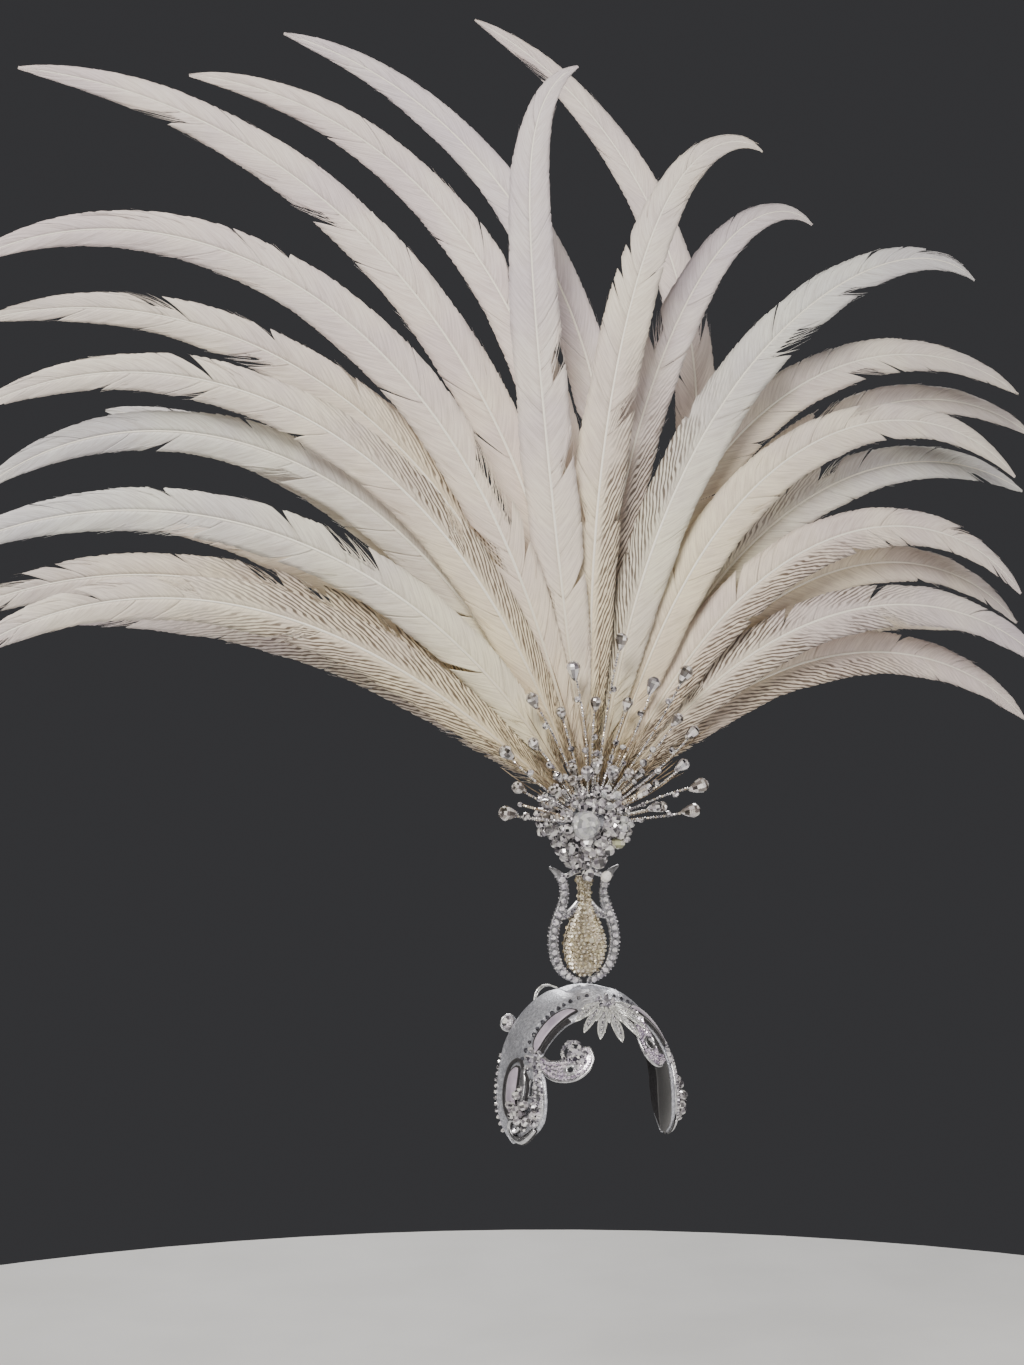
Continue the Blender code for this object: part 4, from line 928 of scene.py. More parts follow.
def flat_bar(bm, rows, mirror, depth, fuller, slot=0):
    """A bar of the lyre along a line in its plane, rounded in front and behind."""
    line = smooth_rows(rows, 6)
    last = len(line) - 1

    def place(u, v):
        index = round(u * last)
        ahead, behind = line[min(index + 1, last)], line[max(index - 1, 0)]
        along = Vector((ahead[0] - behind[0], 0, (ahead[1] - behind[1]) * LYRE_HEIGHT / LYRE_HALF_WIDTH))
        out = Vector((along.z, 0, -along.x)).normalized()
        turn = math.tau * v
        width = line[index][2] * LYRE_HALF_WIDTH / 2 * fuller
        squared = math.copysign(abs(math.sin(turn)) ** 0.7, math.sin(turn))
        point = lyre_point(line[index]) + out * width * math.cos(turn) + Vector((0, depth / 2 * squared, 0))
        point.x *= mirror
        return point

    lay_tube(bm, last, 14, place, slot)


setting_silver = mottled(
    "dull silver of the settings", (0.34, 0.34, 0.36), 0.40, 0.8, 300.0, 3.0, (0.20, 0.20, 0.21),
    (0.44, 0.44, 0.46), gloss=(0.28, 0.50),
)
# A lighter copy of the clear strass for the large arm stones: stronger painted reflections on their facets.
lit_strass = stone_material("bright strass", (0.34, 0.33, 0.37), (0.84, 0.82, 0.86), (1.0, 0.99, 1.0), 0.2)
bm = bmesh.new()
for mirror in (-1, 1):
    flat_bar(bm, ARM_ROWS, mirror, LYRE_THICKNESS, 1.18, slot=1)
    flat_bar(bm, BRIDGE_ROWS, mirror, LYRE_THICKNESS * 0.9, 1.9)
    flat_bar(bm, LIP_ROWS, mirror, LYRE_THICKNESS * 0.8, 1.3)
turn_out(bm)
bmesh.ops.create_cone(
    bm, cap_ends=True, segments=16, radius1=POST_RADIUS, radius2=POST_RADIUS, depth=POST_LENGTH,
    matrix=Matrix.Translation((0, 0, LYRE_TOP + POST_RISE)),
)
add_piece("lyre_frame", bm, [pale_silver, setting_silver], ["lyre"])

BarStones = namedtuple("BarStones", "rows pitch offset radius height slot")
BAR_STONES = rows_of(
    BarStones, (ARM_ROWS[:-1], 0.0064, 0.04, 0.0029, 0.0028, 1),
    (ARM_ROWS[:-1], 0.0032, 0.50, 0.0010, 0.0010, 0), (ARM_ROWS[:-1], 0.0034, -0.46, 0.0010, 0.0010, 0),
    (BRIDGE_ROWS, 0.0034, 0.30, 0.0015, 0.0015, 0), (BRIDGE_ROWS, 0.0034, -0.40, 0.0015, 0.0015, 0),
    (LIP_ROWS, 0.0040, 0.0, 0.0018, 0.0016, 0),
)
rng = random.Random(21)
bm = bmesh.new()
front = Vector((0, -1, 0))
for mirror in (-1, 1):
    for row_of_stones in BAR_STONES:
        line = smooth_rows(row_of_stones.rows, 40)
        walked = 0.0
        for row, following in zip(line, line[1:]):
            start, end = lyre_point(row), lyre_point(following)
            walked += (end - start).length
            if walked < row_of_stones.pitch:
                continue
            walked = 0.0
            along = (end - start).normalized()
            out = Vector((along.z, 0, -along.x))
            offset = row_of_stones.offset + rng.uniform(-0.04, 0.04)
            point = end + out * offset * row[2] * LYRE_HALF_WIDTH + Vector((0, 0.0004 - LYRE_THICKNESS / 2, 0))
            point.x *= mirror
            size = row_of_stones.radius * rng.uniform(0.85, 1.12)
            cut_stone(bm, point, front, size, row_of_stones.height, slot=row_of_stones.slot)
            back_point = Vector((point.x, -point.y, point.z))
            cut_stone(bm, back_point, -front, 0.8 * size, 0.0012, 6)
add_piece("lyre_stones", bm, [strass, lit_strass])


# Vase. The belly of the lyre is a swollen champagne plate covered with small cream stones, with a larger stone in
# the middle, and a short neck up to the crystals. It is soldered to the lyre's arms.
VaseRow = namedtuple("VaseRow", "z half_width")
VASE_ROWS = rows_of(
    VaseRow, (0.075, 0.05), (0.10, 0.26), (0.16, 0.43), (0.25, 0.525), (0.35, 0.555), (0.45, 0.50),
    (0.56, 0.36), (0.65, 0.21), (0.76, 0.145), (0.85, 0.155), (0.905, 0.20), (0.94, 0.20),
)
VASE_SMOOTH = smooth_rows(VASE_ROWS, 6)
VASE_WIDEST = 0.555
VASE_FOOT = 0.075
VASE_RUN = 0.865
VASE_SWELL = 0.0055
VASE_STONE_FOOT = 0.085
VASE_STONE_RUN = 0.85
VASE_STONE_RISE = 0.0034
VASE_STONE_PITCH = 0.0038
champagne = mottled(
    "champagne metal", (0.62, 0.54, 0.42), 0.3, 0.8, 300.0, 3.0, (0.42, 0.36, 0.26), (0.72, 0.64, 0.50),
    gloss=(0.2, 0.45),
)
cream_strass = stone_material("cream strass", (0.22, 0.18, 0.11), (0.69, 0.62, 0.43), (1.0, 0.96, 0.84), 0.3)


def vase_front(x_share, z_share):
    """A point on the swollen front of the vase: x as a share of its half width there."""
    half = table_value(VASE_SMOOTH, z_share, 1) * LYRE_HALF_WIDTH
    swell = VASE_SWELL * (half / (VASE_WIDEST * LYRE_HALF_WIDTH)) * math.sqrt(max(0.0, 1 - x_share ** 2))
    return Vector((x_share * half, -LYRE_THICKNESS / 2 - 0.0006 - swell, LYRE_BASE + z_share * LYRE_HEIGHT))


for facing, name, replaced in ((1, "vase_belly", ["vase"]), (-1, "vase_back", [])):
    bm = bmesh.new()

    def place(u, v):
        point = vase_front(math.sin((v - 0.5) * math.pi), VASE_FOOT + VASE_RUN * u)
        return Vector((point.x, facing * point.y, point.z))

    lay_grid(bm, 60, 16, place)
    face_out(bm, front * facing)
    belly = add_piece(name, bm, [champagne], replaced)
    add_wall(belly, 0.0012)

rng = random.Random(4)
bm = bmesh.new()
count_z = int(VASE_STONE_RUN * LYRE_HEIGHT / VASE_STONE_RISE)
for level in range(count_z):
    z_share = VASE_STONE_FOOT + VASE_STONE_RUN * level / count_z
    half = table_value(VASE_SMOOTH, z_share, 1) * LYRE_HALF_WIDTH
    count_x = max(1, round(2.5 * half / VASE_STONE_PITCH))
    for index in range(count_x):
        arc = ((index + 0.5 * (level % 2) + 0.25) / count_x - 0.5) * 0.96 * math.pi
        point = vase_front(math.sin(arc), z_share)
        point.x += rng.uniform(-0.0003, 0.0003)
        point.z += rng.uniform(-0.0003, 0.0003)
        normal = Vector((0.55 * math.sin(arc), -1, 0)).normalized()
        cut_stone(bm, point, normal, rng.uniform(0.0015, 0.0022), rng.uniform(0.0011, 0.0019), 6)
        if level % 2 == 0 and index % 2 == 0:
            back_point = Vector((point.x, -point.y, point.z))
            cut_stone(bm, back_point, Vector((normal.x, -normal.y, 0)), 0.0018, 0.0010, 6)
middle = vase_front(0.14, 0.39)
cut_stone(bm, middle, front, 0.0046, 0.0036, 10)
add_piece("vase_stones", bm, [cream_strass])


# Saddle. A small metal plate shaped to the crown and covered like the band, that the lyre is soldered to. It is
# the CAD's own solid.
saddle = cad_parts["lyre_foot"]
saddle.data.materials.clear()
saddle.data.materials.append(glitter)


# Crystal cup. A collar of large clear crystals glued round a silver cup hides the joint between the lyre and the
# feathers. All are clear but one pearl and one pale green one.
CUP_HEIGHT = 0.036
CUP_TOP_RADIUS = 0.026
CUP_BASE = LYRE_TOP + SEAM_GAP
CUP_TOP = CUP_BASE + CUP_HEIGHT
ProfilePoint = namedtuple("ProfilePoint", "radius height")
CUP_PROFILE = rows_of(
    ProfilePoint, (0.30, 0.00), (0.38, 0.16), (0.62, 0.36), (0.78, 0.58), (0.89, 0.84), (0.92, 1.00),
)
CrystalRing = namedtuple("CrystalRing", "radius height count turn size")
CRYSTAL_RINGS = rows_of(
    CrystalRing, (0.42, 0.13, 7, 54, 0.0050), (0.62, 0.28, 9, 12, 0.0058), (0.80, 0.44, 11, 30, 0.0060),
    (0.94, 0.64, 13, 5, 0.0062), (0.96, 0.86, 13, 18, 0.0058),
)
pearl = mottled(
    "pearl", (0.90, 0.86, 0.80), 0.22, 0.0, 60.0, 2.0, (0.82, 0.78, 0.72), (0.96, 0.93, 0.90), Coat_Weight=0.8
)
ShowCrystal = namedtuple("ShowCrystal", "x z size slot")
SHOW_CRYSTALS = rows_of(
    ShowCrystal, (0.024, 0.130, 0.0070, 3), (0.011, 0.101, 0.0056, 2), (-0.007, 0.103, 0.0060, 1),
    (0.003, 0.113, 0.0064, 1), (-0.020, 0.126, 0.0066, 1), (-0.016, 0.112, 0.0060, 1), (0.014, 0.124, 0.0060, 1),
)
green_crystal = stone_material(
    "pale green crystal", (0.20, 0.20, 0.10), (0.58, 0.59, 0.40), (0.98, 0.98, 0.86), 0.2, 0.05
)
rng = random.Random(17)
bm = bmesh.new()
profile = smooth_rows(CUP_PROFILE, 4)
verts = [bm.verts.new((CUP_TOP_RADIUS * radius, 0, CUP_BASE + CUP_HEIGHT * height)) for radius, height in profile]
edges = [bm.edges.new(pair) for pair in zip(verts, verts[1:])]
bmesh.ops.spin(bm, geom=verts + edges, cent=(0, 0, 0), axis=(0, 0, 1), angle=math.tau, steps=32, use_merge=True)
rims = [edge for edge in bm.edges if edge.is_boundary]
bmesh.ops.holes_fill(bm, edges=rims, sides=32)
turn_out(bm)
for ring_row in CRYSTAL_RINGS:
    for index in range(ring_row.count):
        turn = math.radians(ring_row.turn) + math.tau * (index + rng.uniform(-0.12, 0.12)) / ring_row.count
        radius = CUP_TOP_RADIUS * ring_row.radius + rng.uniform(-0.001, 0.0015)
        height = CUP_BASE + CUP_HEIGHT * ring_row.height + rng.uniform(-0.0015, 0.0015)
        centre = Vector((radius * math.cos(turn), radius * math.sin(turn), height))
        crystal_bead(bm, centre, ring_row.size * rng.uniform(0.85, 1.2), rng, 0.72, slot=1)
for show in SHOW_CRYSTALS:
    centre = Vector((show.x, -0.028 + abs(show.x) * 0.35, show.z))
    crystal_bead(bm, centre, show.size, rng, 0.85, slot=show.slot)
add_piece("crystal_collar", bm, [pale_silver, crystal, pearl, green_crystal], ["crystal_cup"])


# Crystal dome. One large round smoky crystal, cut in rings of facets, is glued on in front of the feather socket.
DOME_RADIUS = 0.0135
dome_low, dome_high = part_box("crystal_dome")
smoky = stone_material("smoky crystal", (0.30, 0.31, 0.32), (0.48, 0.49, 0.50), (0.72, 0.73, 0.72), 0.1, 0.10)
bm = bmesh.new()
bmesh.ops.create_uvsphere(bm, u_segments=14, v_segments=10, radius=DOME_RADIUS)
bmesh.ops.bisect_plane(
    bm, geom=[*bm.verts, *bm.edges, *bm.faces], plane_co=(0, 0, 0), plane_no=(0, 0, -1), clear_outer=True,
    dist=0.00001,
)
bmesh.ops.holes_fill(bm, edges=[edge for edge in bm.edges if edge.is_boundary], sides=14)
bmesh.ops.rotate(bm, cent=(0, 0, 0), matrix=Matrix.Rotation(math.radians(90), 3, "X"), verts=bm.verts)
dome_centre = Vector(((dome_low.x + dome_high.x) / 2, dome_high.y, (dome_low.z + dome_high.z) / 2))
bmesh.ops.translate(bm, vec=dome_centre, verts=bm.verts)
turn_out(bm)
paint_facet_glints(bm, list(bm.verts), 0)
add_piece("dome_crystal", bm, [smoky], ["crystal_dome"])


# Sprays. Wires strung with seed beads rise from combs before the socket, tremble as the wearer moves, and end in
# clear and smoky glass drops. Shorter ones with bronze beads stand between them, and crystals wrap the socket.
SOCKET_RADIUS = 0.034
SOCKET_BLOCK_BELOW = 0.004
ROW_PITCH = 0.011
ROW_COUNT = 4
QUILL_RADIUS = 0.0020
SOCKET_CENTRE_Z = CUP_TOP + SEAM_GAP + SOCKET_BLOCK_BELOW
SOCKET_HALF_DEPTH = (ROW_COUNT - 1) / 2 * ROW_PITCH + QUILL_RADIUS + 0.003
SPRAY_LEAN = 11.0
DROP_RADIUS = 0.0052
SEED_PITCH = 0.0024
Spray = namedtuple("Spray", "group angle length drop bead_at")
SPRAYS = rows_of(
    Spray, ("right", -82, 0.072, 1.00, 0.62), ("right", -66, 0.066, 0.80, 0.55),
    ("right", -54, 0.094, 0.90, 0.60), ("right", -41, 0.078, 0.75, 0.60), ("right", -31, 0.112, 0.85, 0.70),
    ("front", -21, 0.088, 0.70, 0.55), ("front", -12, 0.124, 0.95, 0.72), ("front", -3, 0.090, 0.75, 0.60),
    ("front", 5, 0.146, 0.85, 0.66), ("front", 13, 0.092, 0.75, 0.55), ("front", 21, 0.116, 0.90, 0.70),
    ("left", 30, 0.138, 0.95, 0.74), ("left", 38, 0.100, 0.75, 0.60), ("left", 47, 0.102, 0.80, 0.70),
    ("left", 57, 0.078, 0.80, 0.55), ("left", 71, 0.086, 1.00, 0.64), ("left", 83, 0.074, 0.95, 0.60),
)
bronze_bead = mottled(
    "bronze seed beads", (0.52, 0.42, 0.30), 0.2, 0.4, 260.0, 1.0, (0.30, 0.22, 0.15), (0.80, 0.72, 0.60),
    (0.36, 0.62), Coat_Weight=0.8,
)
smoky_glass = stone_material("smoky glass", (0.05, 0.045, 0.04), (0.28, 0.25, 0.23), (0.95, 0.93, 0.90), 0.2, 0.05)


def fan_way(angle, slope):
    """The way out from the socket at an angle from straight up, sloped backwards, in degrees."""
    turn, slope = math.radians(angle), math.radians(slope)
    return Vector((math.sin(turn) * math.cos(slope), math.sin(slope), math.cos(turn) * math.cos(slope)))


def socket_point(angle, radius, y):
    turn = math.radians(angle)
    return Vector((radius * math.sin(turn), y, SOCKET_CENTRE_Z + radius * math.cos(turn)))


def glass_drop(bm, end, way, radius, slot):
    """A glass drop hung on the end of a wire: round at its foot, drawn out to the wire."""
    made = bmesh.ops.create_uvsphere(bm, u_segments=10, v_segments=8, radius=radius)["verts"]
    for vertex in made:
        if vertex.co.z < 0:
            pull = -vertex.co.z / radius
            vertex.co.z *= 1.9
            vertex.co.x *= 1 - 0.45 * pull
            vertex.co.y *= 1 - 0.45 * pull
    turn = way.to_track_quat("Z", "Y").to_matrix().to_4x4()
    bmesh.ops.transform(bm, matrix=Matrix.Translation(end - way * radius) @ turn, verts=made)
    paint_facet_glints(bm, made, slot)


SocketRing = namedtuple("SocketRing", "radius count size")
SOCKET_RINGS = rows_of(
    SocketRing, (0.0125, 9, 0.0048), (0.0190, 13, 0.0052), (0.0265, 15, 0.0050), (0.0325, 13, 0.0044),
)
SOCKET_SPREAD = 112.0
SIDE_CRYSTAL_ANGLES = (64, 76, 88, 100)
SIDE_CRYSTAL_ROWS = (-0.016, -0.0055, 0.005, 0.0155)
rng = random.Random(31)
bm = bmesh.new()
for ring_row in SOCKET_RINGS:
    for index in range(ring_row.count):
        angle = -SOCKET_SPREAD + 2 * SOCKET_SPREAD * (index + rng.uniform(-0.2, 0.2)) / (ring_row.count - 1)
        radius = ring_row.radius + rng.uniform(-0.0012, 0.0012)
        centre = socket_point(angle, radius, -SOCKET_HALF_DEPTH - 0.0030 - rng.uniform(0.0, 0.0025))
        if (centre - dome_centre).length > DOME_RADIUS + 0.002:
            kind = rng.choice((0, 0, 0, 1))
            crystal_bead(bm, centre, ring_row.size * rng.uniform(0.8, 1.15), rng, 0.75, slot=kind)
for side, label in SIDES:
    for angle in SIDE_CRYSTAL_ANGLES:
        for row_y in SIDE_CRYSTAL_ROWS:
            angle_now = side * (angle + rng.uniform(-3, 3))
            centre = socket_point(angle_now, SOCKET_RADIUS + 0.0012, row_y + rng.uniform(-0.0012, 0.0012))
            crystal_bead(bm, centre, rng.uniform(0.0048, 0.0062), rng, 0.75)
add_piece("socket_crystals", bm, [crystal, smoky])

COMB_RADIUS = 0.0235
SHORT_SPRAYS = 10
SHORT_DROPS = 5
DROP_FULLER = 1.28
SPRAY_BEAD_RADIUS = 0.0032
SPRAY_WIRE_RADIUS = 0.0005
SPRAY_GLASSES = [icy_wire, crystal, pearl, bronze_bead, smoky_glass]
CLEAR, PEARLY, BRONZE, SMOKED = range(1, 5)
rng = random.Random(3)
for group in ("right", "front", "left"):
    bm = bmesh.new()
    wires = [spray for spray in SPRAYS if spray.group == group]
    for spray in wires:
        way = fan_way(spray.angle, -SPRAY_LEAN)
        base = socket_point(spray.angle, COMB_RADIUS, -SOCKET_HALF_DEPTH - 0.0014)
        bow = way.cross(front).normalized() * rng.uniform(-0.004, 0.004)
        steps = max(6, round(spray.length / SEED_PITCH))
        points = []
        for step in range(steps + 1):
            share = step / steps
            points.append(base + way * spray.length * share + bow * math.sin(math.pi * share))
        tube_along(bm, points[:-3], SPRAY_WIRE_RADIUS, 5)
        for point in points[1:-4]:
            radius = rng.uniform(0.0011, 0.0014)
            seed = CLEAR if rng.random() < 0.65 else BRONZE
            crystal_bead(bm, point, radius, rng, 1.0, True, seed)
        crystal_bead(bm, base + way * spray.length * spray.bead_at, SPRAY_BEAD_RADIUS, rng, 0.9, slot=CLEAR)
        glass = SMOKED if rng.random() < 0.45 else CLEAR
        glass_drop(bm, base + way * spray.length, way, DROP_RADIUS * DROP_FULLER * spray.drop, glass)
    start, end = wires[0].angle - 6, wires[-1].angle + 6
    for index in range(SHORT_SPRAYS):
        angle = start + (end - start) * (index + rng.random()) / SHORT_SPRAYS
        way = fan_way(angle, -rng.uniform(6, 30))
        base = socket_point(angle, 0.021, -SOCKET_HALF_DEPTH - 0.001)
        reach = rng.uniform(0.022, 0.058)
        seed, last_bead = BRONZE if index % 3 else CLEAR, PEARLY if index == 5 else CLEAR
        for step in range(int(reach / SEED_PITCH)):
            crystal_bead(bm, base + way * SEED_PITCH * (step + 1), 0.0013, rng, 1.0, True, seed)
        crystal_bead(bm, base + way * reach, rng.uniform(0.0024, 0.0036), rng, 0.85, slot=last_bead)
    for index in range(SHORT_DROPS):
        angle = start + (end - start) * (index + rng.random()) / SHORT_DROPS
        way = fan_way(angle, -rng.uniform(14, 34))
        base = socket_point(angle, 0.022, -SOCKET_HALF_DEPTH - 0.001)
        reach = rng.uniform(0.030, 0.048)
        tube_along(bm, [base, base + way * reach * 0.4, base + way * reach * 0.7], SPRAY_WIRE_RADIUS, 5)
        glass_drop(bm, base + way * reach, way, rng.uniform(0.0042, 0.0058), CLEAR if index % 2 else SMOKED)
    add_piece("beaded_spray_" + group, bm, SPRAY_GLASSES, ["spray_" + group])


# Bare wires. Thin bronze wires stand among the sprays and over the feet of the feathers, a few of them long and
# dark. They go into the comb with the sprays.
BARE_WIRE_COUNT = 64
BARE_WIRE_START = -60
BARE_WIRE_SPREAD = 122
LONG_EVERY = 9
LONG_REACH = (0.090, 0.150)
SHORT_REACH = (0.030, 0.080)
bronze_wire = mottled(
    "bronze wire", (0.36, 0.27, 0.18), 0.35, 0.5, 90.0, 2.0, (0.16, 0.11, 0.07), (0.52, 0.41, 0.28),
    gloss=(0.25, 0.5),
)
rng = random.Random(44)
bm = bmesh.new()
for index in range(BARE_WIRE_COUNT):
    angle = BARE_WIRE_START + BARE_WIRE_SPREAD * (index + rng.uniform(-0.45, 0.45)) / (BARE_WIRE_COUNT - 1)
    way = fan_way(angle, -rng.uniform(0, 9))
    base = socket_point(angle, 0.030, -SOCKET_HALF_DEPTH - 0.001)
    reach = rng.uniform(*(LONG_REACH if index % LONG_EVERY == 4 else SHORT_REACH))
    bow = way.cross(front).normalized() * rng.uniform(-0.003, 0.003)
    points = [base + way * reach * step / 6 + bow * math.sin(math.pi * step / 6) for step in range(7)]
    tube_along(bm, points, rng.uniform(0.0004, 0.0007), 5)
turn_out(bm)
add_piece("bare_wires", bm, [bronze_wire])


# Feather socket. A plain fan-shaped holder behind the crystals, wrapped in silver cloth, that the quills are glued
# into. It is the CAD's own solid.
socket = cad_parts["feather_socket"]
socket.data.materials.clear()
socket.data.materials.append(glitter)


# Feathers. Long white tail feathers in rows one behind the other. Each has a cream rachis and two webs of
# slanted barbs, split and frayed here and there, with loose down at its foot. The webs of some are pencilled
# with fine dark lines. The quills are glued into the socket.
FEATHER_LENGTH = 0.80
FEATHER_WIDTH = 0.042
VANE_FOLD = 0.10
SHINGLE_ROLL = 18.0
ROW_LEAN = 3
CROOK_POWER = 12
BARB_PITCH = 0.0026
BARB_SLANT = 0.046
VANE_THICKNESS = 0.0004
FRAYED_REACH = 0.45
FRAYED_PITCH = 0.0028
FRAYED_WIDTH = 0.0021
MAP_SCALE = 10
WISP_COUNT = 46
DOWN_COUNT = 60
Feather = namedtuple("Feather", "name row fan tip hook crook curl length width")
FEATHERS = rows_of(
    Feather, ("right_01", 0, -49, -128, 1.75, 0, 8, 0.72, 0.98),
    ("right_03", 0, -33, -120, 1.30, 0, 8, 0.80, 0.98), ("right_05", 0, -22, -121, 1.65, 0, 8, 0.86, 0.95),
    ("right_07", 0, -15, -121, 1.90, 0, 8, 0.99, 1.00), ("centre_1", 0, -8, -2, 1.20, 70, 2, 0.81, 1.05),
    ("left_01", 0, -1, 31, 1.50, 95, 4, 0.82, 1.00), ("left_03", 0, 10, 82, 1.50, 45, 8, 0.89, 1.05),
    ("left_06", 0, 20, 132, 1.90, 0, 8, 0.80, 1.00), ("left_08", 0, 31, 138, 1.80, 0, 8, 0.71, 0.98),
    ("left_10", 0, 40, 131, 1.40, 0, 8, 0.69, 1.00), ("right_02", 1, -42, -121, 1.35, 0, 12, 0.76, 0.95),
    ("right_04", 1, -26, -131, 1.75, 0, 12, 0.82, 0.98), ("right_06", 1, -16, -107, 1.50, 0, 12, 0.90, 0.95),
    ("right_08", 1, -4, -86, 1.40, 0, 12, 1.07, 1.00), ("left_02", 1, 5, 49, 1.60, 80, 10, 0.81, 0.98),
    ("left_04", 1, 13, 117, 1.55, 0, 12, 0.92, 1.00), ("left_07", 1, 27, 114, 1.60, 0, 12, 0.79, 1.00),
    ("left_09", 1, 36, 131, 1.60, 0, 12, 0.71, 0.95), ("left_11", 1, 47, 129, 1.30, 0, 12, 0.66, 1.00),
    ("back_1", 2, -46, -100, 1.20, 0, 16, 0.60, 0.95), ("back_2", 2, -34, -92, 1.20, 0, 16, 0.66, 0.95),
    ("back_3", 2, -22, -84, 1.20, 0, 16, 0.68, 0.95), ("back_4", 2, -10, -62, 1.20, 0, 16, 0.62, 0.95),
    ("right_09", 2, 4, -86, 1.85, 0, 16, 1.01, 0.98), ("right_10", 2, 13, -74, 1.65, 0, 16, 1.02, 0.90),
    ("left_05", 2, 24, 116, 1.65, 0, 16, 0.93, 0.95), ("back_5", 2, 32, 96, 1.30, 0, 16, 0.66, 0.95),
    ("back_6", 2, 43, 106, 1.30, 0, 16, 0.60, 0.95), ("centre_2", 3, 31, -56, 1.60, 0, 26, 1.10, 0.90),
)
VaneStation = namedtuple("VaneStation", "along half_width rachis")
VANE_STATIONS = rows_of(
    VaneStation, (0.000, 0.00, 1.00), (0.050, 0.28, 1.00), (0.100, 0.56, 0.95), (0.175, 0.82, 0.90),
    (0.270, 0.95, 0.84), (0.390, 1.00, 0.75), (0.510, 1.00, 0.66), (0.630, 0.95, 0.57), (0.740, 0.85, 0.49),
    (0.840, 0.69, 0.42), (0.920, 0.48, 0.36), (0.970, 0.27, 0.32), (1.000, 0.05, 0.30),
)
VANE_SMOOTH = smooth_rows(VANE_STATIONS, 4)
RACHIS_FINE = 0.80
PENCILLED = {
    "right_01": (-1, 1), "right_02": (-1, 1), "right_05": (1,), "right_06": (1,), "left_01": (1,), "left_02": (1,),
    "left_03": (-1,), "left_04": (-1,), "left_07": (-1,), "left_08": (1,), "left_10": (-1, 1), "left_11": (1,),
    "back_1": (-1, 1), "back_6": (-1, 1), "centre_2": (1,),
}
CENTRELINE_STEPS = 120
GROUP_LENGTHS = (0.03, 0.06, 0.10, 0.15, 0.21)
GROUP_GAPS = (0.0008, 0.0010, 0.003, 0.009)
SPLIT_DEPTHS = (0.05, 0.35, 0.5, 0.6, 0.7, 0.8)


def blend_from_socket(tree, foot, tip, near, far):
    """The colour at a feather's foot blended into the colour of its tip, by the distance from the socket."""
    away = add_node(tree, "ShaderNodeVectorMath", operation="DISTANCE")
    away.inputs[1].default_value = (0.0, 0.0, SOCKET_CENTRE_Z)
    tree.links.new(texture_place(tree), away.inputs[0])
    return colour_blend(tree, map_range(tree, away.outputs["Value"], near, far), foot, tip, 0.0, 1.0)


def vane_material(name, foot, tip, pencilled):
    """White vane: warm near its foot, paler towards the tip, with painted shade in streaks along the barbs."""
    material, tree, shader = new_material(name, tip, 0.6)
    colour = blend_from_socket(tree, foot, tip, 0.08, 0.52)
    tint = object_noise(tree, 14.0, 3.0)
    by_web = texture_place(tree, "UV")
    drawn_out = add_node(tree, "ShaderNodeMapping", in_Vector=by_web, in_Scale=(42.0, 1.3, 1.0)).outputs["Vector"]
    barb_shade_streaks = add_node(
        tree, "ShaderNodeTexNoise", in_Vector=drawn_out, in_Scale=1.0, in_Detail=4.0, in_Roughness=0.65
    ).outputs["Fac"]
    layers = [
        colour_blend(tree, tint, (0.88, 0.85, 0.89), (1.0, 0.99, 0.95), 0.38, 0.62),
        # Darker streaks along the barbs: painted shade between the barbs.
        colour_blend(tree, barb_shade_streaks, (0.76, 0.73, 0.72), (1.0, 1.0, 1.0), 0.34, 0.58),
    ]
    if pencilled:
        turned = add_node(tree, "ShaderNodeMapping", in_Vector=by_web, in_Rotation=(0.0, 0.0, 0.35))
        lines = add_node(
            tree, "ShaderNodeTexWave", bands_direction="X", in_Vector=turned.outputs["Vector"], in_Scale=3.6,
            in_Distortion=4.2, in_Detail=1.0, in_Detail_Scale=1.3,
        )
        parts = add_node(tree, "ShaderNodeSeparateXYZ", in_Vector=by_web).outputs
        ink = map_range(tree, lines.outputs["Fac"], 0.60, 0.30)
        for value, start, end in ((parts["X"], 4.0, 2.8), (parts["Y"], 0.10, 0.34), (tint, 0.28, 0.42)):
            both = add_node(tree, "ShaderNodeMath", operation="MULTIPLY")
            tree.links.new(ink, both.inputs[0])
            tree.links.new(map_range(tree, value, start, end), both.inputs[1])
            ink = both.outputs["Value"]
        layers.append(colour_blend(tree, ink, (1.0, 1.0, 1.0), (0.20, 0.17, 0.15), 0.0, 1.0))
    for layer in layers:
        colour = multiply_colours(tree, colour, layer)
    tree.links.new(colour, shader.inputs["Base Color"])
    vary_roughness(tree, shader, barb_shade_streaks, 0.48, 0.74)
    add_bump(tree, shader, barb_shade_streaks, 0.6, 0.0010)
    shader.inputs["Sheen Weight"].default_value = 0.25
    shader.inputs["Sheen Roughness"].default_value = 0.5
    return material


VaneTint = namedtuple("VaneTint", "name foot tip")
VANE_TINTS = rows_of(
    VaneTint, ("warm", (0.92, 0.80, 0.54), (0.87, 0.81, 0.74)),
    ("rose", (0.91, 0.79, 0.60), (0.86, 0.78, 0.75)), ("cool", (0.90, 0.82, 0.60), (0.81, 0.82, 0.80)),
    ("lilac", (0.90, 0.80, 0.63), (0.80, 0.74, 0.76)),
)
TINT_ORDER = (0, 2, 0, 1, 3)
vane_materials = [
    (vane_material(tint.name + " vane", tint.foot, tint.tip, False),
     vane_material(tint.name + " pencilled vane", tint.foot, tint.tip, True))
    for tint in VANE_TINTS
]
rachis_horn, tree, shader = new_material("cream rachis", (0.92, 0.88, 0.78), 0.32)
horn = blend_from_socket(tree, (0.66, 0.54, 0.35), (1.0, 0.96, 0.85), 0.04, 0.26)
tree.links.new(horn, shader.inputs["Base Color"])
vary_roughness(tree, shader, object_noise(tree, 120.0), 0.28, 0.45)


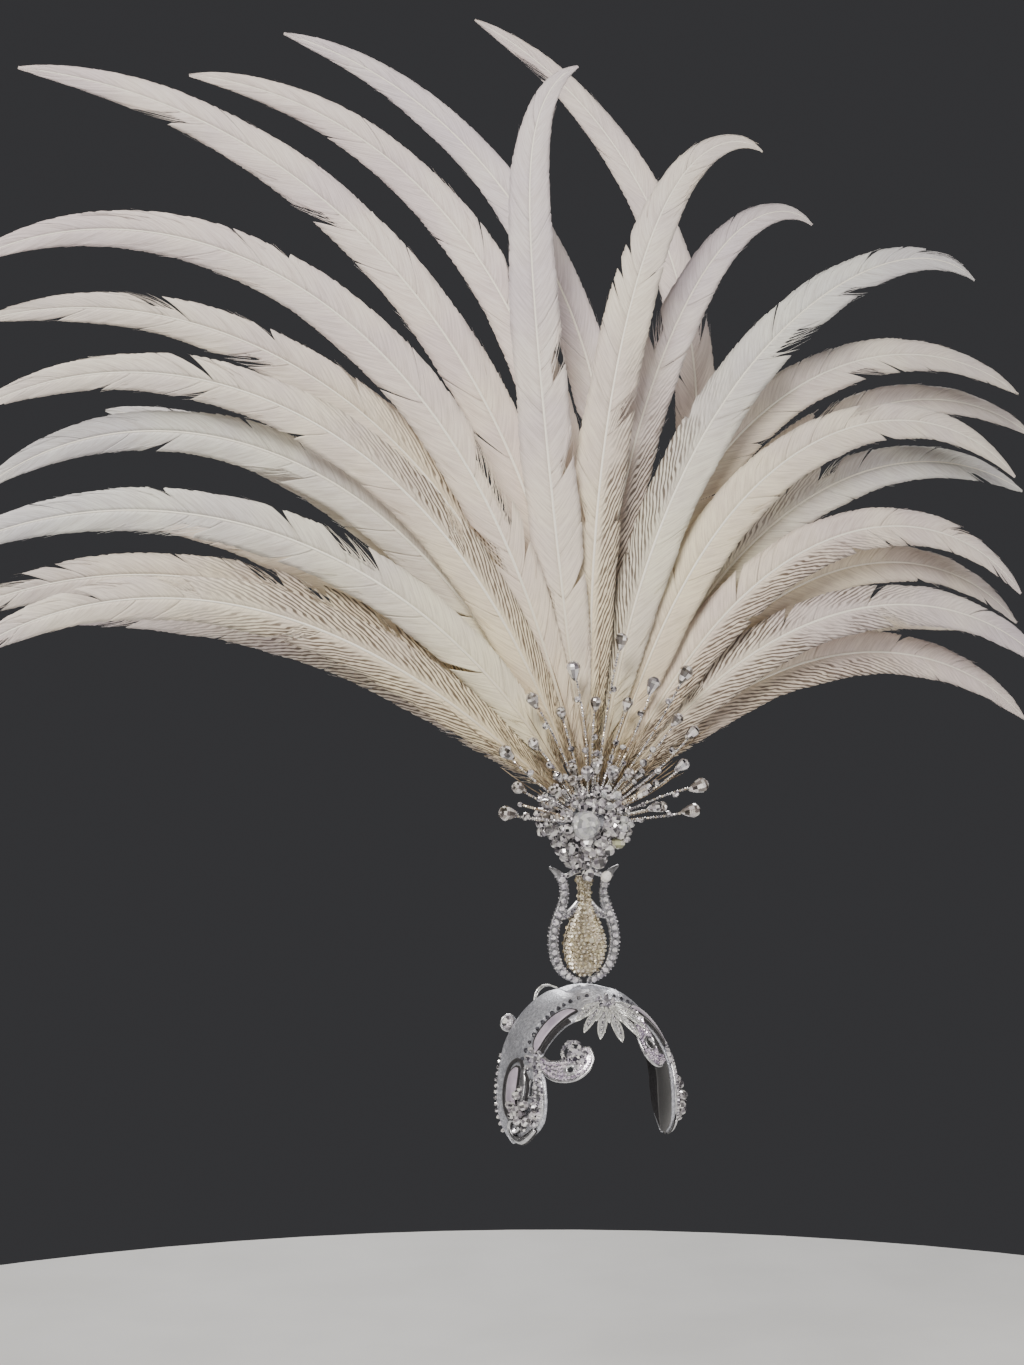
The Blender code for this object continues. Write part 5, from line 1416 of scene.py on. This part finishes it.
def feather_frames(feather):
    """Centre points, side and face directions of a feather at even steps from the socket to the tip."""
    length = FEATHER_LENGTH * feather.length
    row_y = (feather.row - (ROW_COUNT - 1) / 2) * ROW_PITCH
    point = socket_point(feather.fan, SOCKET_RADIUS + SEAM_GAP, row_y)
    roll = math.radians(SHINGLE_ROLL)
    lean = ROW_LEAN * feather.row

    def travel(along):
        bend = (feather.tip - feather.fan) * along ** feather.hook + feather.crook * along ** CROOK_POWER
        return fan_way(feather.fan + bend, lean + (feather.curl - lean) * along)

    frames = []
    for step in range(CENTRELINE_STEPS + 1):
        way = travel(step / CENTRELINE_STEPS)
        side = way.cross(front).normalized()
        normal = side.cross(way).normalized()
        rolled = side * math.cos(roll) + normal * math.sin(roll)
        frames.append((point.copy(), rolled, normal * math.cos(roll) - side * math.sin(roll)))
        point += travel((step + 0.5) / CENTRELINE_STEPS) * length / CENTRELINE_STEPS
    return frames


def web_point(feather, frames, web, along, reach, rise):
    """A point on a web: its share of the length, its reach from the rachis to the edge, its rise off the fold."""
    along = min(1.0, max(0.0, along))
    half = FEATHER_WIDTH / 2 * feather.width * max(0.02, table_value(VANE_SMOOTH, along, 1))
    spot = along * CENTRELINE_STEPS
    index = min(CENTRELINE_STEPS - 1, int(spot))
    share = spot - index
    point, side, normal = (near.lerp(far, share) for near, far in zip(frames[index], frames[index + 1]))
    out = half * reach
    crown = 0.0016 * math.sin(math.pi * min(1.0, reach)) * half / 0.021
    return point + side * (web * out) + normal * (rise + crown - VANE_FOLD * out)


def lay_barbs(bm, feather, frames, web, roots, rng, spread, tip_reach, slot, steps=5):
    """Loose barbs that have come away from each other, each a narrow strip drawn out to a point."""
    length = FEATHER_LENGTH * feather.length
    for root, width in roots:
        slant = BARB_SLANT * rng.uniform(0.7, 1.5)
        far = rng.uniform(*tip_reach)
        start = rng.uniform(*spread)
        lift = rng.uniform(-0.0015, 0.0020)

        def place(u, v):
            reach = start + (far - start) * v
            thin = (1 - v) ** 0.7 * (u - 0.5) * width / length
            return web_point(feather, frames, web, root + slant * v ** 1.3 + thin, reach, lift * v)

        mapped = root * length * MAP_SCALE
        lay_grid(bm, 1, steps, place, slot=slot, span=(mapped, mapped + 0.02))


def lay_down(bm, feather, frames, web, rng, slot):
    """The soft down at the foot of a feather: long loose barbs that lie close along the quill."""
    length = FEATHER_LENGTH * feather.length
    for _ in range(DOWN_COUNT // 2):
        root = rng.uniform(0.025, 0.125)
        spread = rng.uniform(0.006, 0.015)
        run = rng.uniform(0.016, 0.034) / length
        width = rng.uniform(0.0012, 0.0024)
        lift = rng.uniform(-0.003, 0.004)

        def place(u, v):
            along = root + run * v + (1 - v) ** 0.6 * (u - 0.5) * width / length
            half = FEATHER_WIDTH / 2 * feather.width * max(0.02, table_value(VANE_SMOOTH, min(1.0, along), 1))
            return web_point(feather, frames, web, along, spread * v ** 0.9 / half, lift * v)

        mapped = root * length * MAP_SCALE
        lay_grid(bm, 1, 5, place, slot=slot, span=(mapped, mapped + 0.02))


def lay_web(bm, feather, frames, web, rng, slot):
    """One web of a feather: groups of slanted barbs from the rachis to the edge, split from each other."""
    length = FEATHER_LENGTH * feather.length
    seed = rng.uniform(0, 100)
    start, gap_before, depth_before = 0.045, 0.0, 0.0
    while start < 0.97:
        end = start + rng.choice(GROUP_LENGTHS) * rng.uniform(0.7, 1.3)
        end = 1.0 if end > 0.95 else end
        gap = 0.0 if end == 1.0 else rng.choice(GROUP_GAPS) * rng.uniform(0.7, 1.3)
        depth = rng.choice(SPLIT_DEPTHS)
        frayed = 0.12 < start < 0.9 and end - start < 0.045 and rng.random() < 0.7
        reach_now = FRAYED_REACH if frayed else 1.0
        columns = max(3, round((end - start) * length / BARB_PITCH))
        ends = [1 - rng.choice((0.0, 0.0, 0.01, 0.02, 0.04)) for _ in range(columns + 1)]

        def place(u, v):
            root = start + (end - start) * u
            down = max(0.0, 1 - root / 0.16)
            reach = v * reach_now
            if v == 1:
                reach *= ends[round(u * columns)] * (1 - 0.25 * down * (round(u * columns) % 2))
            opened_before = max(0.0, reach - depth_before) / (1.001 - depth_before)
            opened = max(0.0, reach - depth) / (1.001 - depth)
            lean = gap_before * (1 - u) ** 3 * opened_before ** 1.4 - gap * u ** 3 * opened ** 1.4
            ripple = 0.0016 * reach * noise.noise(Vector((seed, root * 22, 0.6 * reach)))
            ripple += 0.0007 * reach * noise.noise(Vector((seed + 7, root * 95, reach)))
            bent = 1.05 + 0.07 * noise.noise(Vector((seed + 3, root * 11, 0))) * reach
            along = root + BARB_SLANT * reach ** 1.25 + lean
            return web_point(feather, frames, web, along, reach * bent, ripple)

        lay_grid(bm, columns, 5, place, slot=slot, span=(start * length * MAP_SCALE, end * length * MAP_SCALE))
        if frayed:
            count = max(3, round((end - start) * length / FRAYED_PITCH))
            roots = [
                (start + (end - start) * (index + 0.5) / count + 0.012, FRAYED_WIDTH) for index in range(count)
            ]
            lay_barbs(bm, feather, frames, web, roots, rng, (0.34, 0.40), (0.85, 1.12), slot)
        start, gap_before, depth_before = end, gap, depth


for number, feather in enumerate(FEATHERS):
    rng = random.Random(100 + number)
    frames = feather_frames(feather)
    bm = bmesh.new()
    for web in (-1, 1):
        slot = 1 if web in PENCILLED.get(feather.name, ()) else 0
        lay_web(bm, feather, frames, web, rng, slot)
        wisps = [(rng.uniform(0.10, 0.93), rng.uniform(0.0006, 0.0012)) for _ in range(WISP_COUNT // 2)]
        lay_barbs(bm, feather, frames, web, wisps, rng, (0.55, 0.8), (1.0, 1.16), slot, 3)
        lay_down(bm, feather, frames, web, rng, slot)
    face_out(bm, front)
    tint = vane_materials[TINT_ORDER[number % len(TINT_ORDER)]]
    vane = add_piece("vane_" + feather.name, bm, tint, ["feather_" + feather.name])
    add_wall(vane, VANE_THICKNESS, 0.0)

    bm = bmesh.new()

    def shaft_place(u, v):
        point, side, normal = frames[round(u * CENTRELINE_STEPS)]
        radius = RACHIS_FINE * QUILL_RADIUS * table_value(VANE_SMOOTH, u, 2) * (1.0 if u < 0.98 else 0.5)
        turn = math.tau * v
        return point + (side * math.cos(turn) + normal * math.sin(turn) * 0.9) * radius

    lay_tube(bm, CENTRELINE_STEPS, 8, shaft_place)
    turn_out(bm)
    add_piece("rachis_" + feather.name, bm, [rachis_horn])
